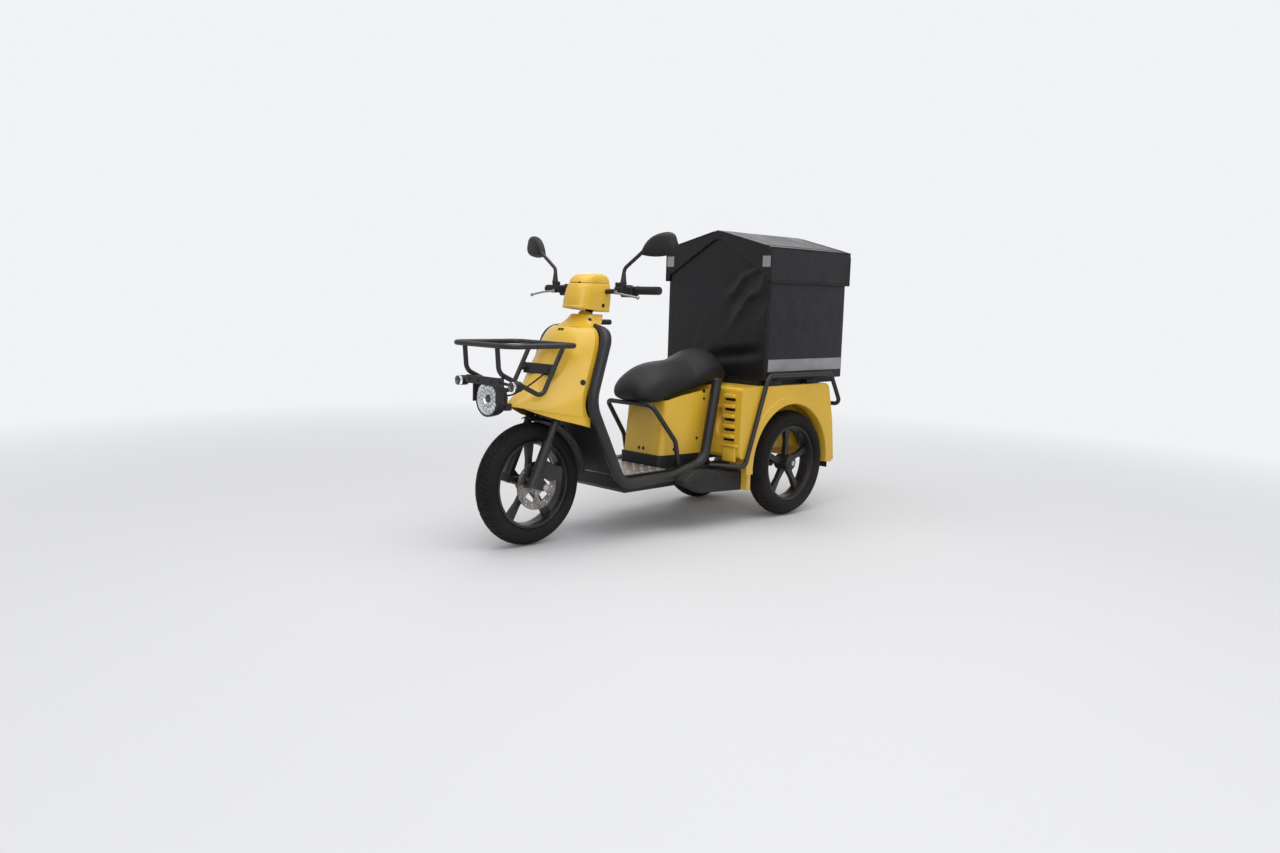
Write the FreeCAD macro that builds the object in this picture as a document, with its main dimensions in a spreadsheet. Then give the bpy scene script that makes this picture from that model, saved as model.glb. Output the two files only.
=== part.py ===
import FreeCAD, Part
import math
import os
import Sketcher
from FreeCAD import Placement, Rotation, Vector

# Open three-wheeled electric delivery scooter, in millimetres.
# Forward is -Y, the rider's left is +X and the floor is Z = 0.
# Front pieces are drawn in the front frame, whose origin is on the floor below the front axle.
# Rear pieces are drawn in the rear frame, on the floor below the rear axle.
# Steered pieces are drawn in the steering frame, whose Z is the steering axis.

SIZES = [
    # alias, value, meaning
    ("wheelbase", 1426, "front axle to rear axle"),
    ("front_reach", 776.5, "origin to front axle"),
    ("tyre_diameter", 530, "outer diameter of the three tyres"),
    ("front_tyre_width", 100, "front tyre section"),
    ("rear_tyre_width", 110, "rear tyre section"),
    ("rear_track", 570, "between the rear wheels' middle planes"),
    ("tyre_height", 76, "tread to rim flange"),
    ("rim_depth", 17, "rim flange to the inside of the rim ring"),
    ("rim_width", 76, "over the rim flanges"),
    ("hub_diameter", 78, "wheel hub"),
    ("front_hub_width", 90, "front hub over its faces"),
    ("spoke_thickness", 22, "spoke along the axle"),
    ("disc_diameter", 210, "front brake disc"),
    ("disc_thickness", 4, "front brake disc"),
    ("disc_gap", 11, "hub face to brake disc"),
    ("axle_diameter", 16, "front axle bolt"),
    ("rake", 25, "steering axis from the vertical, degrees"),
    ("axle_trail_back", 14.5, "steering axis to the front axle, square to the axis"),
    ("leg_lead", 35, "steering axis to the fork legs, square to the axis"),
    ("leg_spacing", 180, "between the fork legs' middles"),
    ("slider_diameter", 44, "lower fork leg"),
    ("slider_length", 205, "lower fork leg"),
    ("stanchion_diameter", 33, "upper fork leg"),
    ("yoke_height", 352, "front axle to the yoke's underside, along the steering axis"),
    ("yoke_thickness", 30, "yoke plate"),
    ("stem_diameter", 34, "steering stem"),
    ("stem_top", 868, "front axle to the stem's top, along the steering axis"),
    ("head_diameter", 56, "head tube outside"),
    ("head_length", 330, "head tube"),
    ("bearing_gap", 0.3, "running clearance on the stem"),
    ("guard_gap", 22, "tyre to front mudguard"),
    ("guard_half", 62, "half width of the front mudguard"),
    ("guard_wall", 3, "front mudguard"),
    ("main_tube", 48, "side frame tube"),
    ("thin_tube", 22, "rack, hoop and rail tube"),
    ("frame_half", 210, "middle plane to the side tube"),
    ("floor_height", 290, "top of the footboard"),
    ("board_thickness", 5, "footboard plate"),
    ("panel_thickness", 12, "rider's side of the leg shield"),
    ("shell_wall", 4, "moulded body panels"),
    ("body_half", 340, "half width of the rear body"),
    ("body_top", 662, "top of the rear body"),
    ("axle_height", 265, "height of the axles in the drawings of the body"),
    ("well_inner", 212, "middle plane to the rear wheel housing's inner wall"),
    ("saddle_lift", 0.3, "rest gap below the saddle"),
    ("tray_thickness", 26, "carrier tray below the box"),
    ("box_half", 328, "half width of the box"),
    ("box_front", -243, "box front wall, from the rear axle"),
    ("box_rear", 392, "box rear wall, from the rear axle"),
    ("box_wall", 10, "stiffened fabric wall"),
    ("box_wall_top", 1225, "top of the box's side walls"),
    ("lid_skirt_bottom", 1160, "lower edge of the lid's side flaps"),
    ("lid_eave", 1325, "lid edge height"),
    ("lid_rise", 88, "ridge above the eave"),
    ("lid_wall", 8, "lid fabric and stiffener"),
    ("lid_gap", 9, "box wall to lid flap"),
    ("rest_gap", 0.3, "between pieces that rest on each other"),
    ("lamp_diameter", 150, "headlamp"),
    ("lamp_depth", 78, "headlamp housing"),
]

doc = FreeCAD.newDocument("delivery_tricycle")
sheet = doc.addObject("Spreadsheet::Sheet", "Sizes")
for row, (alias, amount, meaning) in enumerate(SIZES, start=1):
    sheet.set(f"A{row}", meaning)
    sheet.set(f"B{row}", str(amount))
    sheet.setAlias(f"B{row}", alias)
doc.recompute()

nodes = []


def size(alias):
    """Value of one cell of the sheet, in millimetres or degrees."""
    return float(sheet.get(alias))


def frame_y(frame):
    """Y of the front or rear frame in the shared frame."""
    front = -size("front_reach")
    return {"front": front, "rear": front + size("wheelbase")}[frame]


def ride_height():
    """Lift of the whole body when the tyres differ from the drawn axle height."""
    return size("tyre_diameter") / 2 - size("axle_height")


FRAME_EXPRESSION = {
    "front": "-Sizes.front_reach",
    "rear": "Sizes.wheelbase - Sizes.front_reach",
}
RIDE_EXPRESSION = "Sizes.tyre_diameter / 2 - Sizes.axle_height"


def place(item, frame, x="0", y="0", z="0"):
    """Bind a sub-part's Placement to its frame and to expressions for x, y and z."""
    item.Placement = Placement(Vector(0, frame_y(frame), ride_height()), Rotation())
    item.setExpression("Placement.Base.x", x)
    item.setExpression("Placement.Base.y", f"{FRAME_EXPRESSION[frame]} + ({y})")
    item.setExpression("Placement.Base.z", f"{RIDE_EXPRESSION} + ({z})")
    nodes.append(item)


def steering_placement():
    """Placement of the steering frame: its Z is the steering axis."""
    rake = math.radians(size("rake"))
    back = size("axle_trail_back")
    base = Vector(0, -back * math.cos(rake), size("tyre_diameter") / 2 + back * math.sin(rake))
    base.y += frame_y("front")
    return Placement(base, Rotation(Vector(1, 0, 0), -size("rake")))


def place_steered(item):
    """Bind a sub-part's Placement to the steering frame."""
    item.Placement = steering_placement()
    item.setExpression("Placement.Base.y", "-Sizes.front_reach - Sizes.axle_trail_back * cos(Sizes.rake)")
    item.setExpression(
        "Placement.Base.z", "Sizes.tyre_diameter / 2 + Sizes.axle_trail_back * sin(Sizes.rake)")
    nodes.append(item)


def rounded(corners):
    """Steps of a closed outline from corners (u, v, radius); a radius of 0 is a sharp corner.

    A step of two numbers is a line to that point, a step of four is an arc through the
    first point to the second. The first step is the starting point.
    """
    steps = []
    count = len(corners)
    for index, (u, v, radius) in enumerate(corners):
        here = Vector(u, v, 0)
        if radius == 0:
            steps.append((u, v))
            continue
        before = Vector(*corners[index - 1][:2], 0) - here
        after = Vector(*corners[(index + 1) % count][:2], 0) - here
        before.normalize()
        after.normalize()
        half = before.getAngle(after) / 2
        start = here + before * (radius / math.tan(half))
        end = here + after * (radius / math.tan(half))
        middle = (before + after).normalize() * (radius / math.sin(half) - radius) + here
        steps.append((start.x, start.y))
        steps.append((middle.x, middle.y, end.x, end.y))
    return steps


def origin_item(body, role):
    """Plane or axis of a body's own origin."""
    return next(item for item in body.Origin.OriginFeatures if item.Role == role)


def new_body(label):
    """Empty body named after its node."""
    body = doc.addObject("PartDesign::Body", label)
    body.Label = label
    return body


def add_sketch(body, name, plane, steps=None, offset=0.0):
    """Sketch on one of the body's origin planes, with one closed outline."""
    item = body.newObject("Sketcher::SketchObject", f"{body.Label}_{name}")
    item.AttachmentSupport = [(origin_item(body, plane), "")]
    item.MapMode = "FlatFace"
    item.AttachmentOffset = Placement(Vector(0, 0, offset), Rotation())
    if steps:
        draw(item, steps)
    return item


def draw(item, steps):
    """Add a closed outline to a sketch and join its ends.

    A sketch keeps every arc anticlockwise, so a clockwise arc's start is its second point.
    """
    ends = []
    here = Vector(*steps[0], 0)
    for step in steps[1:] + [steps[0][-2:]]:
        end = Vector(*step[-2:], 0)
        if here.distanceToPoint(end) < 1e-6:
            continue
        if len(step) == 4:
            middle = Vector(*step[:2], 0)
            index = item.addGeometry(Part.Arc(here, middle, end), False)
            clockwise = (middle - here).cross(end - middle).z < 0
            ends.append((index, 2, 1) if clockwise else (index, 1, 2))
        else:
            index = item.addGeometry(Part.LineSegment(here, end), False)
            ends.append((index, 1, 2))
        here = end
    for (index, _, finish), (follower, start, _) in zip(ends, ends[1:] + ends[:1]):
        item.addConstraint(Sketcher.Constraint("Coincident", index, finish, follower, start))


def add_circle(item, centre, expression):
    """Circle whose diameter is bound to an expression."""
    index = item.addGeometry(Part.Circle(Vector(*centre, 0), Vector(0, 0, 1), 10), False)
    if centre == (0, 0):
        item.addConstraint(Sketcher.Constraint("Coincident", index, 3, -1, 1))
    else:
        item.addConstraint(Sketcher.Constraint("DistanceX", -1, 1, index, 3, centre[0]))
        item.addConstraint(Sketcher.Constraint("DistanceY", -1, 1, index, 3, centre[1]))
    diameter = item.addConstraint(Sketcher.Constraint("Diameter", index, 20))
    item.setExpression(f"Constraints[{diameter}]", expression)


def add_pad(body, name, item, length, symmetric=False, cut=False, reverse=False):
    """Pad or pocket of a sketch; length is an expression."""
    kind = "PartDesign::Pocket" if cut else "PartDesign::Pad"
    pad = body.newObject(kind, f"{body.Label}_{name}")
    pad.Profile = item
    pad.setExpression("Length", length)
    pad.Midplane = symmetric
    pad.Reversed = reverse
    return pad


def add_turn(body, name, item, axis, cut=False, angle=360.0, symmetric=False):
    """Revolution or groove of a sketch about one of the body's origin axes."""
    kind = "PartDesign::Groove" if cut else "PartDesign::Revolution"
    turn = body.newObject(kind, f"{body.Label}_{name}")
    turn.Profile = item
    turn.ReferenceAxis = (origin_item(body, axis), [""])
    turn.Angle = angle
    turn.Midplane = symmetric
    return turn


def add_loft(body, name, plane, sections, cut=False, ruled=False):
    """Loft through outlines; sections are (offset along the plane's normal, steps)."""
    kind = "PartDesign::SubtractiveLoft" if cut else "PartDesign::AdditiveLoft"
    sketches = [add_sketch(body, f"{name}_{number}", plane, steps, offset)
                for number, (offset, steps) in enumerate(sections)]
    doc.recompute()
    loft = body.newObject(kind, f"{body.Label}_{name}")
    loft.Profile = sketches[0]
    loft.Sections = sketches[1:]
    loft.Ruled = ruled
    return loft


def add_pattern(body, name, feature, axis, count):
    """Polar pattern of a feature, made the body's tip."""
    pattern = body.newObject("PartDesign::PolarPattern", f"{body.Label}_{name}")
    pattern.Originals = [feature]
    pattern.Axis = (origin_item(body, axis), [""])
    pattern.Angle = 360
    pattern.Occurrences = count
    body.Tip = pattern
    return pattern


def bent_path(points):
    """Wire of straight runs with round bends; points are (x, y, z, bend radius)."""
    edges = []
    here = Vector(*points[0][:3])
    for index in range(1, len(points) - 1):
        corner = Vector(*points[index][:3])
        radius = points[index][3]
        before = (Vector(*points[index - 1][:3]) - corner).normalize()
        after = (Vector(*points[index + 1][:3]) - corner).normalize()
        half = before.getAngle(after) / 2
        start = corner + before * (radius / math.tan(half))
        end = corner + after * (radius / math.tan(half))
        middle = corner + (before + after).normalize() * (radius / math.sin(half) - radius)
        edges.append(Part.makeLine(here, start))
        edges.append(Part.Arc(start, middle, end).toShape())
        here = end
    edges.append(Part.makeLine(here, Vector(*points[-1][:3])))
    return Part.Wire(edges)


def bent_tube(points, diameter):
    """Solid round bar along a bent path."""
    path = bent_path(points)
    start = Vector(*points[0][:3])
    heading = Vector(*points[1][:3]) - start
    ring = Part.Wire([Part.makeCircle(diameter / 2, start, heading)])
    return path.makePipeShell([ring], True, False)


def both_sides(shape):
    """A shape and its mirror image across the middle plane."""
    return [shape, shape.mirror(Vector(0, 0, 0), Vector(1, 0, 0))]


def fused(shapes):
    """One clean shape from several that touch."""
    result = shapes[0].multiFuse(shapes[1:]) if len(shapes) > 1 else shapes[0]
    return result.removeSplitter()


def shape_node(label, shape, frame):
    """Node whose shape is computed; its Placement follows its frame."""
    item = doc.addObject("Part::Feature", label)
    item.Label = label
    item.Shape = shape
    place(item, frame)
    return item


def tyre(label, frame, x, width_alias):
    """Tyre with a rounded tread, turned about the axle."""
    body = new_body(label)
    half = size(width_alias) / 2
    crown = size("tyre_diameter") / 2
    flange = size("tyre_diameter") / 2 - size("tyre_height")
    bead = size("rim_width") / 2 - 6.3
    shoulder = crown - 0.26 * size(width_alias)
    steps = [
        (-bead, flange - 8.7), (bead, flange - 8.7), (bead, flange + 1),
        (half, (flange + shoulder) / 2, half - 5, shoulder),
        (0, crown, 5 - half, shoulder),
        (-half, (flange + shoulder) / 2, -bead, flange + 1),
    ]
    section = add_sketch(body, "section", "XZ_Plane", steps)
    add_turn(body, "turn", section, "X_Axis")
    place(body, frame, x=x, z="Sizes.axle_height")


def rim(label, frame, x, side, hub_half, boss, bore):
    """Five-spoke cast wheel; boss is how far the hub's outer side stands out."""
    body = new_body(label)
    half = size("rim_width") / 2
    flange = size("tyre_diameter") / 2 - size("tyre_height")
    bore_radius = flange - size("rim_depth")
    ring = [
        (-half, flange), (6 - half, flange), (6 - half, flange - 9), (-14, flange - 9), (-10, bore_radius + 4),
        (10, bore_radius + 4), (14, flange - 9), (half - 6, flange - 9), (half - 6, flange), (half, flange),
        (half, flange - 11), (20, bore_radius), (-20, bore_radius), (-half, flange - 11),
    ]
    add_turn(body, "ring", add_sketch(body, "ring_section", "XZ_Plane", ring), "X_Axis")
    hub = size("hub_diameter") / 2
    root = hub - 10
    tip = bore_radius + 2
    waist = (root + tip) / 2
    blade = rounded([(-17, root, 0), (-11, waist, 60), (-20, tip, 0), (20, tip, 0), (11, waist, 60), (17, root, 0)])
    spoke = add_pad(body, "spoke", add_sketch(body, "spoke_outline", "YZ_Plane", blade),
                    "Sizes.spoke_thickness", symmetric=True)
    doc.recompute()
    add_pattern(body, "spokes", spoke, "X_Axis", 5)
    doc.recompute()
    outer = side * (hub_half + boss)
    inner = -side * hub_half
    barrel = [
        (inner, bore / 2), (outer, bore / 2), (outer, hub - 10), (outer - side * 4, hub - 6),
        (side * hub_half, hub - 6), (side * (hub_half - 4), hub), (inner + side * 4, hub), (inner, hub - 4),
    ]
    add_turn(body, "hub", add_sketch(body, "hub_section", "XZ_Plane", barrel), "X_Axis")
    place(body, frame, x=x, z="Sizes.axle_height")


def brake_disc():
    """Drilled brake disc bolted to the front hub's left side."""
    body = new_body("brake_disc")
    face = size("front_hub_width") / 2 + size("disc_gap")
    plate = add_sketch(body, "plate", "YZ_Plane", offset=face)
    add_circle(plate, (0, 0), "Sizes.disc_diameter")
    add_circle(plate, (0, 0), "Sizes.axle_diameter + 6")
    add_pad(body, "plate_pad", plate, "Sizes.disc_thickness")
    doc.recompute()
    edge = size("disc_diameter") / 2
    window = rounded([(-17, 40, 4), (-26, edge - 34, 4), (26, edge - 34, 4), (17, 40, 4)])
    opening = add_pad(body, "window", add_sketch(body, "window_outline", "YZ_Plane", window, face),
                      "Sizes.disc_thickness", cut=True, reverse=True)
    doc.recompute()
    add_pattern(body, "windows", opening, "X_Axis", 5)
    doc.recompute()
    holes = add_sketch(body, "hole_outline", "YZ_Plane", offset=face)
    add_circle(holes, (0, round(edge - 10, 3)), "8")
    add_circle(holes, (6, round(edge - 22, 3)), "8")
    drilled = add_pad(body, "hole", holes, "Sizes.disc_thickness", cut=True, reverse=True)
    doc.recompute()
    add_pattern(body, "holes", drilled, "X_Axis", 15)
    place(body, "front", z="Sizes.axle_height")


def caliper_outer():
    """Outer face of the caliper, from the middle plane."""
    disc = size("front_hub_width") / 2 + size("disc_gap") + size("disc_thickness") / 2
    return disc + 25


def fork():
    """Telescopic fork: yoke plate, two legs and the axle lugs behind their feet."""
    body = new_body("fork")
    side = size("leg_spacing") / 2
    lead = -size("leg_lead")
    low = -22.0
    top = size("yoke_height")
    plate = rounded([
        (-side - 26, lead - 26, 20), (side + 26, lead - 26, 20), (side + 26, lead + 24, 20),
        (26, 26, 18), (-26, 26, 18), (-side - 26, lead + 24, 20)])
    add_pad(body, "yoke", add_sketch(body, "yoke_outline", "XY_Plane", plate, top), "Sizes.yoke_thickness")
    rods = (("stanchion", "Sizes.stanchion_diameter", low + size("slider_length") - 1,
             "Sizes.yoke_height - Sizes.slider_length + 30"),
            ("slider", "Sizes.slider_diameter", low, "Sizes.slider_length"))
    for name, diameter, start, length in rods:
        circles = add_sketch(body, f"{name}_outline", "XY_Plane", offset=start)
        for x in (-side, side):
            add_circle(circles, (x, lead), diameter)
        add_pad(body, name, circles, length)
    axle = size("axle_trail_back")
    lug = rounded([(lead - 8, -20, 8), (axle + 17, -17, 16), (axle + 17, 17, 16), (lead + 2, 46, 10)])
    for name, start in (("left_lug", side - 17), ("right_lug", -side - 15)):
        add_pad(body, name, add_sketch(body, f"{name}_outline", "YZ_Plane", lug, start), "32")
    ear = rounded([(lead, 44, 0), (48, 34, 10), (76, 60, 10), (44, 106, 10), (lead, 112, 0)])
    add_pad(body, "caliper_ear", add_sketch(body, "ear_outline", "YZ_Plane", ear, caliper_outer()), "12")
    doc.recompute()
    bore = add_sketch(body, "axle_bore", "YZ_Plane")
    add_circle(bore, (axle, 0), "Sizes.axle_diameter + 0.2")
    add_pad(body, "axle_hole", bore, "Sizes.leg_spacing * 2", symmetric=True, cut=True)
    place_steered(body)


def steering_stem():
    """Stem through the head tube, with the handlebar clamp on top."""
    body = new_body("steering_stem")
    low = size("yoke_height") + size("yoke_thickness")
    shaft = add_sketch(body, "shaft", "XY_Plane", offset=low)
    add_circle(shaft, (0, 0), "Sizes.stem_diameter")
    add_pad(body, "shaft_pad", shaft, "Sizes.stem_top - Sizes.yoke_height - Sizes.yoke_thickness")
    clamp = rounded([(-26, -24, 8), (26, -24, 8), (26, 24, 8), (-26, 24, 8)])
    add_pad(body, "clamp", add_sketch(body, "clamp_outline", "XY_Plane", clamp, size("stem_top")), "56")
    doc.recompute()
    bar = add_sketch(body, "bar_seat", "YZ_Plane")
    add_circle(bar, (0, size("stem_top") + 37), "Sizes.thin_tube + 0.2")
    add_pad(body, "bar_bore", bar, "120", symmetric=True, cut=True)
    place_steered(body)


def front_axle():
    """Axle bolt with a head on one side and a nut on the other."""
    body = new_body("front_axle")
    reach = size("leg_spacing") / 2 + 17
    radius = size("axle_diameter") / 2
    steps = [
        (-reach - 10, 0), (-reach - 10, radius + 5), (-reach, radius + 5), (-reach, radius),
        (reach, radius), (reach, radius + 6), (reach + 14, radius + 5), (reach + 14, 0),
    ]
    add_turn(body, "turn", add_sketch(body, "section", "XZ_Plane", steps), "X_Axis")
    place(body, "front", z="Sizes.axle_height")


def brake_caliper():
    """Two-pot caliper over the disc's rear edge, behind the left fork leg."""
    body = new_body("brake_caliper")
    disc = size("front_hub_width") / 2 + size("disc_gap") + size("disc_thickness") / 2
    block = rounded([(64, 22, 12), (118, 6, 14), (122, 74, 16), (62, 84, 12)])
    add_pad(body, "block", add_sketch(body, "block_outline", "YZ_Plane", block, disc - 15), "40")
    doc.recompute()
    slot = add_sketch(body, "slot_outline", "YZ_Plane", offset=disc - 4.5)
    add_circle(slot, (0, 0), "Sizes.disc_diameter + 6")
    add_pad(body, "slot", slot, "9", cut=True, reverse=True)
    place(body, "front", z="Sizes.axle_height")


def front_mudguard():
    """Arched mudguard with side lips, held between the fork legs."""
    body = new_body("front_mudguard")
    inner = size("tyre_diameter") / 2 + size("guard_gap")
    half = size("guard_half")
    wall = size("guard_wall")
    lip = 20
    steps = [
        (-half, inner - lip), (wall - half, inner - lip), (wall - half, inner - 8), (12 - half, inner),
        (half - 12, inner), (half - wall, inner - 8), (half - wall, inner - lip), (half, inner - lip),
        (half, inner - 6), (half - 11, inner + wall), (11 - half, inner + wall), (-half, inner - 6),
    ]
    add_turn(body, "arch", add_sketch(body, "section", "XZ_Plane", steps), "X_Axis", angle=118, symmetric=True)
    lean = 34
    stay = steering_placement().multVec(Vector(0, -size("leg_lead"), inner - 14))
    stay -= Vector(0, frame_y("front"), size("tyre_diameter") / 2)
    stay = Rotation(Vector(1, 0, 0), lean).multVec(stay)
    reach = size("leg_spacing") / 2 - size("stanchion_diameter") / 2 - size("rest_gap")
    for name, start in (("left_stay", half - wall), ("right_stay", -reach)):
        end = add_sketch(body, f"{name}_outline", "YZ_Plane", offset=start)
        add_circle(end, (round(stay.y, 3), round(stay.z, 3)), "18")
        add_pad(body, name, end, str(reach - half + wall))
    place(body, "front", z="Sizes.axle_height")
    body.Placement = Placement(body.Placement.Base, Rotation(Vector(1, 0, 0), -lean))



def place_bar(item):
    """Bind a sub-part's Placement to the handlebar's centre, with upright axes."""
    rise = size("stem_top") + BAR_ABOVE_STEM
    centre = steering_placement().multVec(Vector(0, 0, rise))
    item.Placement = Placement(centre, Rotation())
    nodes.append(item)


def handlebar():
    """Handlebar tube with its two gentle bends."""
    half = [(0, 0, 0, 0), (70, 0, 0, 60), (185, 16, 8, 80), (362, 24, 9, 0)]
    sides = both_sides(bent_tube(half, size("thin_tube")))
    item = doc.addObject("Part::Feature", "handlebar")
    item.Shape = fused(sides)
    place_bar(item)


def bar_piece(label, shapes):
    """Node of separate solids carried by the handlebar."""
    item = doc.addObject("Part::Feature", label)
    item.Shape = Part.makeCompound(shapes)
    place_bar(item)


def round_bar(start, end, diameter):
    """Solid cylinder between two points."""
    axis = Vector(*end) - Vector(*start)
    return Part.makeCylinder(diameter / 2, axis.Length, Vector(*start), axis)


def block(low, high, radius=0.0):
    """Box between two corners, with its edges rounded where a radius is given."""
    box = Part.makeBox(*(b - a for a, b in zip(low, high)), Vector(*low))
    return box.makeFillet(radius, box.Edges) if radius else box


def bar_clearance():
    """Space that the handlebar tube takes, for what is clamped around it."""
    half = [(0, 0, 0, 0), (70, 0, 0, 60), (185, 16, 8, 80), (362.5, 24, 9, 0)]
    return bent_tube(half, size("thin_tube") + 0.4)


def bar_controls():
    """Grips, switch housings with their lever clamps, levers and mirrors."""
    tube = bar_clearance()
    grip = round_bar((246, 18.8, 8.3), (369, 24.4, 9.1), 33)
    collar = round_bar((240, 18.5, 8.3), (246, 18.8, 8.3), 38)
    bar_piece("grips", both_sides(grip.fuse(collar).cut(tube)))
    switch = block((168, -16, -22), (238, 34, 26), 8)
    clamp = block((182, -66, -10), (232, -8, 24), 7)
    boss = round_bar((224, -50, 22), (224, -50, 34), 26)
    bar_piece("control_housings", both_sides(fused([switch, clamp, boss]).cut(tube)))
    blade = [(206, -74, -3, 0), (250, -96, -8, 30), (348, -84, -22, 0)]
    lever = bent_tube(blade, 9)
    ball = Part.makeSphere(8, Vector(348, -84, -22))
    pivot = round_bar((206, -74, -11), (206, -74, 5), 16)
    bar_piece("brake_levers", both_sides(fused([lever, ball, pivot])))
    head = mirror_head()
    bar_piece("mirror_heads", both_sides(head))
    stem = bent_tube([(224, -50, 34.3, 0), (226, -50, 78, 26), (286, -30, 138, 30), (366, -16, 196, 0)], 12)
    bar_piece("mirror_stems", both_sides(stem.cut(head)))


def mirror_head():
    """Left mirror's teardrop housing, toed outward."""
    outline = [(-66, -34), (10, -50, 62, -36), (92, -6, 78, 30), (40, 56, -30, 44), (-78, 12, -66, -34)]
    edges = outline_edges(outline, 0)
    small = outline_edges([(u * 0.7, v * 0.7) if len(p) == 2 else tuple(0.7 * c for c in p)
                           for p in outline for u, v in [p[:2]]], 24)
    head = Part.makeLoft([edges, small], True, False)
    head.rotate(Vector(0, 0, 0), Vector(1, 0, 0), 90)
    head.rotate(Vector(0, 0, 0), Vector(0, 0, 1), -22)
    head.translate(Vector(396, -12, 204))
    return head


def outline_edges(steps, height):
    """Closed wire at a height from the steps of an outline."""
    edges = []
    here = Vector(*steps[0], height)
    for step in steps[1:] + [steps[0][-2:]]:
        end = Vector(*step[-2:], height)
        if here.distanceToPoint(end) < 1e-6:
            continue
        if len(step) == 4:
            edges.append(Part.Arc(here, Vector(*step[:2], height), end).toShape())
        else:
            edges.append(Part.makeLine(here, end))
        here = end
    return Part.Wire(edges)


def cut_by(body, label, tools, put):
    """Node made from a body less some shapes, which put places in the body's frame."""
    body.Label = f"{label}_blank"
    nodes.remove(body)
    tool = doc.addObject("Part::Feature", f"{label}_room")
    tool.Shape = tools[0].multiFuse(tools[1:])
    put(tool)
    nodes.remove(tool)
    cut = doc.addObject("Part::Cut", label)
    cut.Label = label
    cut.Base = body
    cut.Tool = tool
    nodes.append(cut)


def cowl_section(front, rear, half):
    """Horizontal section of the handlebar cowl: a round front and a flat rear."""
    return [
        (-half, front * 0.4), (-half * 0.78, front * 0.84, 0, front),
        (half * 0.78, front * 0.84, half, front * 0.4), (half, rear - 14), (half - 14, rear),
        (14 - half, rear), (-half, rear - 14),
    ]


def cowl():
    """Handlebar cowl in two mouldings: the front mask and the cap over it."""
    mask_rows = [
        # height, front, rear, half width
        (-82, -156, 24, 76),
        (-40, -154, 42, 80),
        (0, -143, 50, 80),
        (36, -122, 46, 75),
    ]
    cap_rows = [
        (36.3, -120, 45, 73.5),
        (58, -98, 36, 64),
        (78, -62, 12, 42),
    ]
    for label, rows in (("cowl_mask", mask_rows), ("cowl_cap", cap_rows)):
        body = new_body(label)
        sections = [(height, cowl_section(front, rear, half)) for height, front, rear, half in rows]
        add_loft(body, "shell", "XY_Plane", sections)
        doc.recompute()
        if label == "cowl_mask":
            hollow = [(height, cowl_section(front + 4, rear - 4, half - 4))
                      for height, front, rear, half in ((-83, -156, 24, 76), (-40, -154, 42, 80), (30, -126, 47, 76))]
            add_loft(body, "hollow", "XY_Plane", hollow, cut=True)
            doc.recompute()
        place_bar(body)
        if label == "cowl_mask":
            cut_by(body, label, both_sides(bar_clearance()), place_bar)


BAR_ABOVE_STEM = 37


def side_path():
    """Left side frame tube, from the steering head down, along the floor and up behind the seat."""
    half = size("frame_half")
    rear = size("wheelbase")
    low = size("floor_height") - 40
    return [
        (30, 298, 936, 0),
        (half - 12, 262, 912, 62),
        (half, 163, 620, 150),
        (half, 355, low, 105),
        (half, rear - 740, low + 8, 260),
        (half, rear - 492, low + 62, 90),
        (half, rear - 352, low + 452, 46),
        (half, rear - 262, low + 462, 0),
    ]


def frame_solids(extra=0.0):
    """Side tubes, head tube and cross tubes, thickened by twice extra."""
    diameter = size("main_tube") + 2 * extra
    left = bent_tube(side_path(), diameter)
    steer = steering_placement()
    foot = steer.multVec(Vector(0, 0, size("yoke_height") + size("yoke_thickness") + 20))
    foot -= Vector(0, frame_y("front"), ride_height())
    axis = steer.Rotation.multVec(Vector(0, 0, 1))
    head = Part.makeCylinder(size("head_diameter") / 2 + extra, size("head_length"), foot, axis)
    low = size("floor_height") - 40
    crosses = [Part.makeCylinder(18 + extra, size("frame_half") * 2, Vector(-size("frame_half"), y, z),
                                 Vector(1, 0, 0))
               for y, z in ((470, low), (size("wheelbase") - 760, low + 8), (size("wheelbase") - 487, low + 14))]
    bore = Part.makeCylinder(size("stem_diameter") / 2 + size("bearing_gap"), size("head_length") + 2,
                             foot - axis, axis)
    return both_sides(left) + [head] + crosses, bore


def steering_room():
    """Space that the steering stem and the yoke sweep, for the pieces around them."""
    steer = steering_placement()
    low = size("yoke_height")
    foot = steer.multVec(Vector(0, 0, low))
    foot -= Vector(0, frame_y("front"), ride_height())
    axis = steer.Rotation.multVec(Vector(0, 0, 1))
    stem = Part.makeCylinder(size("stem_diameter") / 2 + 5, size("head_length") + 210, foot, axis)
    reach = size("leg_spacing") / 2 + 40
    sweep = Part.makeCylinder(reach, size("yoke_thickness") + 40, Vector(0, 0, low - 30), Vector(0, 0, 1))
    behind = block((-reach, 70, low - 40), (reach, reach + 1, low + 60))
    sweep = sweep.cut(behind)
    sweep.Placement = steer
    sweep.translate(Vector(0, -frame_y("front"), -ride_height()))
    return [stem, sweep]


def frame_in(frame, extra):
    """The frame's tubes, thickened by twice extra, as one shape in the front or rear frame."""
    solids, _ = frame_solids(extra)
    shape = solids[0].multiFuse(solids[1:])
    shape.translate(Vector(0, frame_y("front") - frame_y(frame), 0))
    return shape


def main_frame():
    """Welded tube frame: two side tubes, the steering head and cross tubes."""
    solids, bore = frame_solids()
    shape_node("main_frame", fused(solids).cut(bore), "front")


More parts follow.
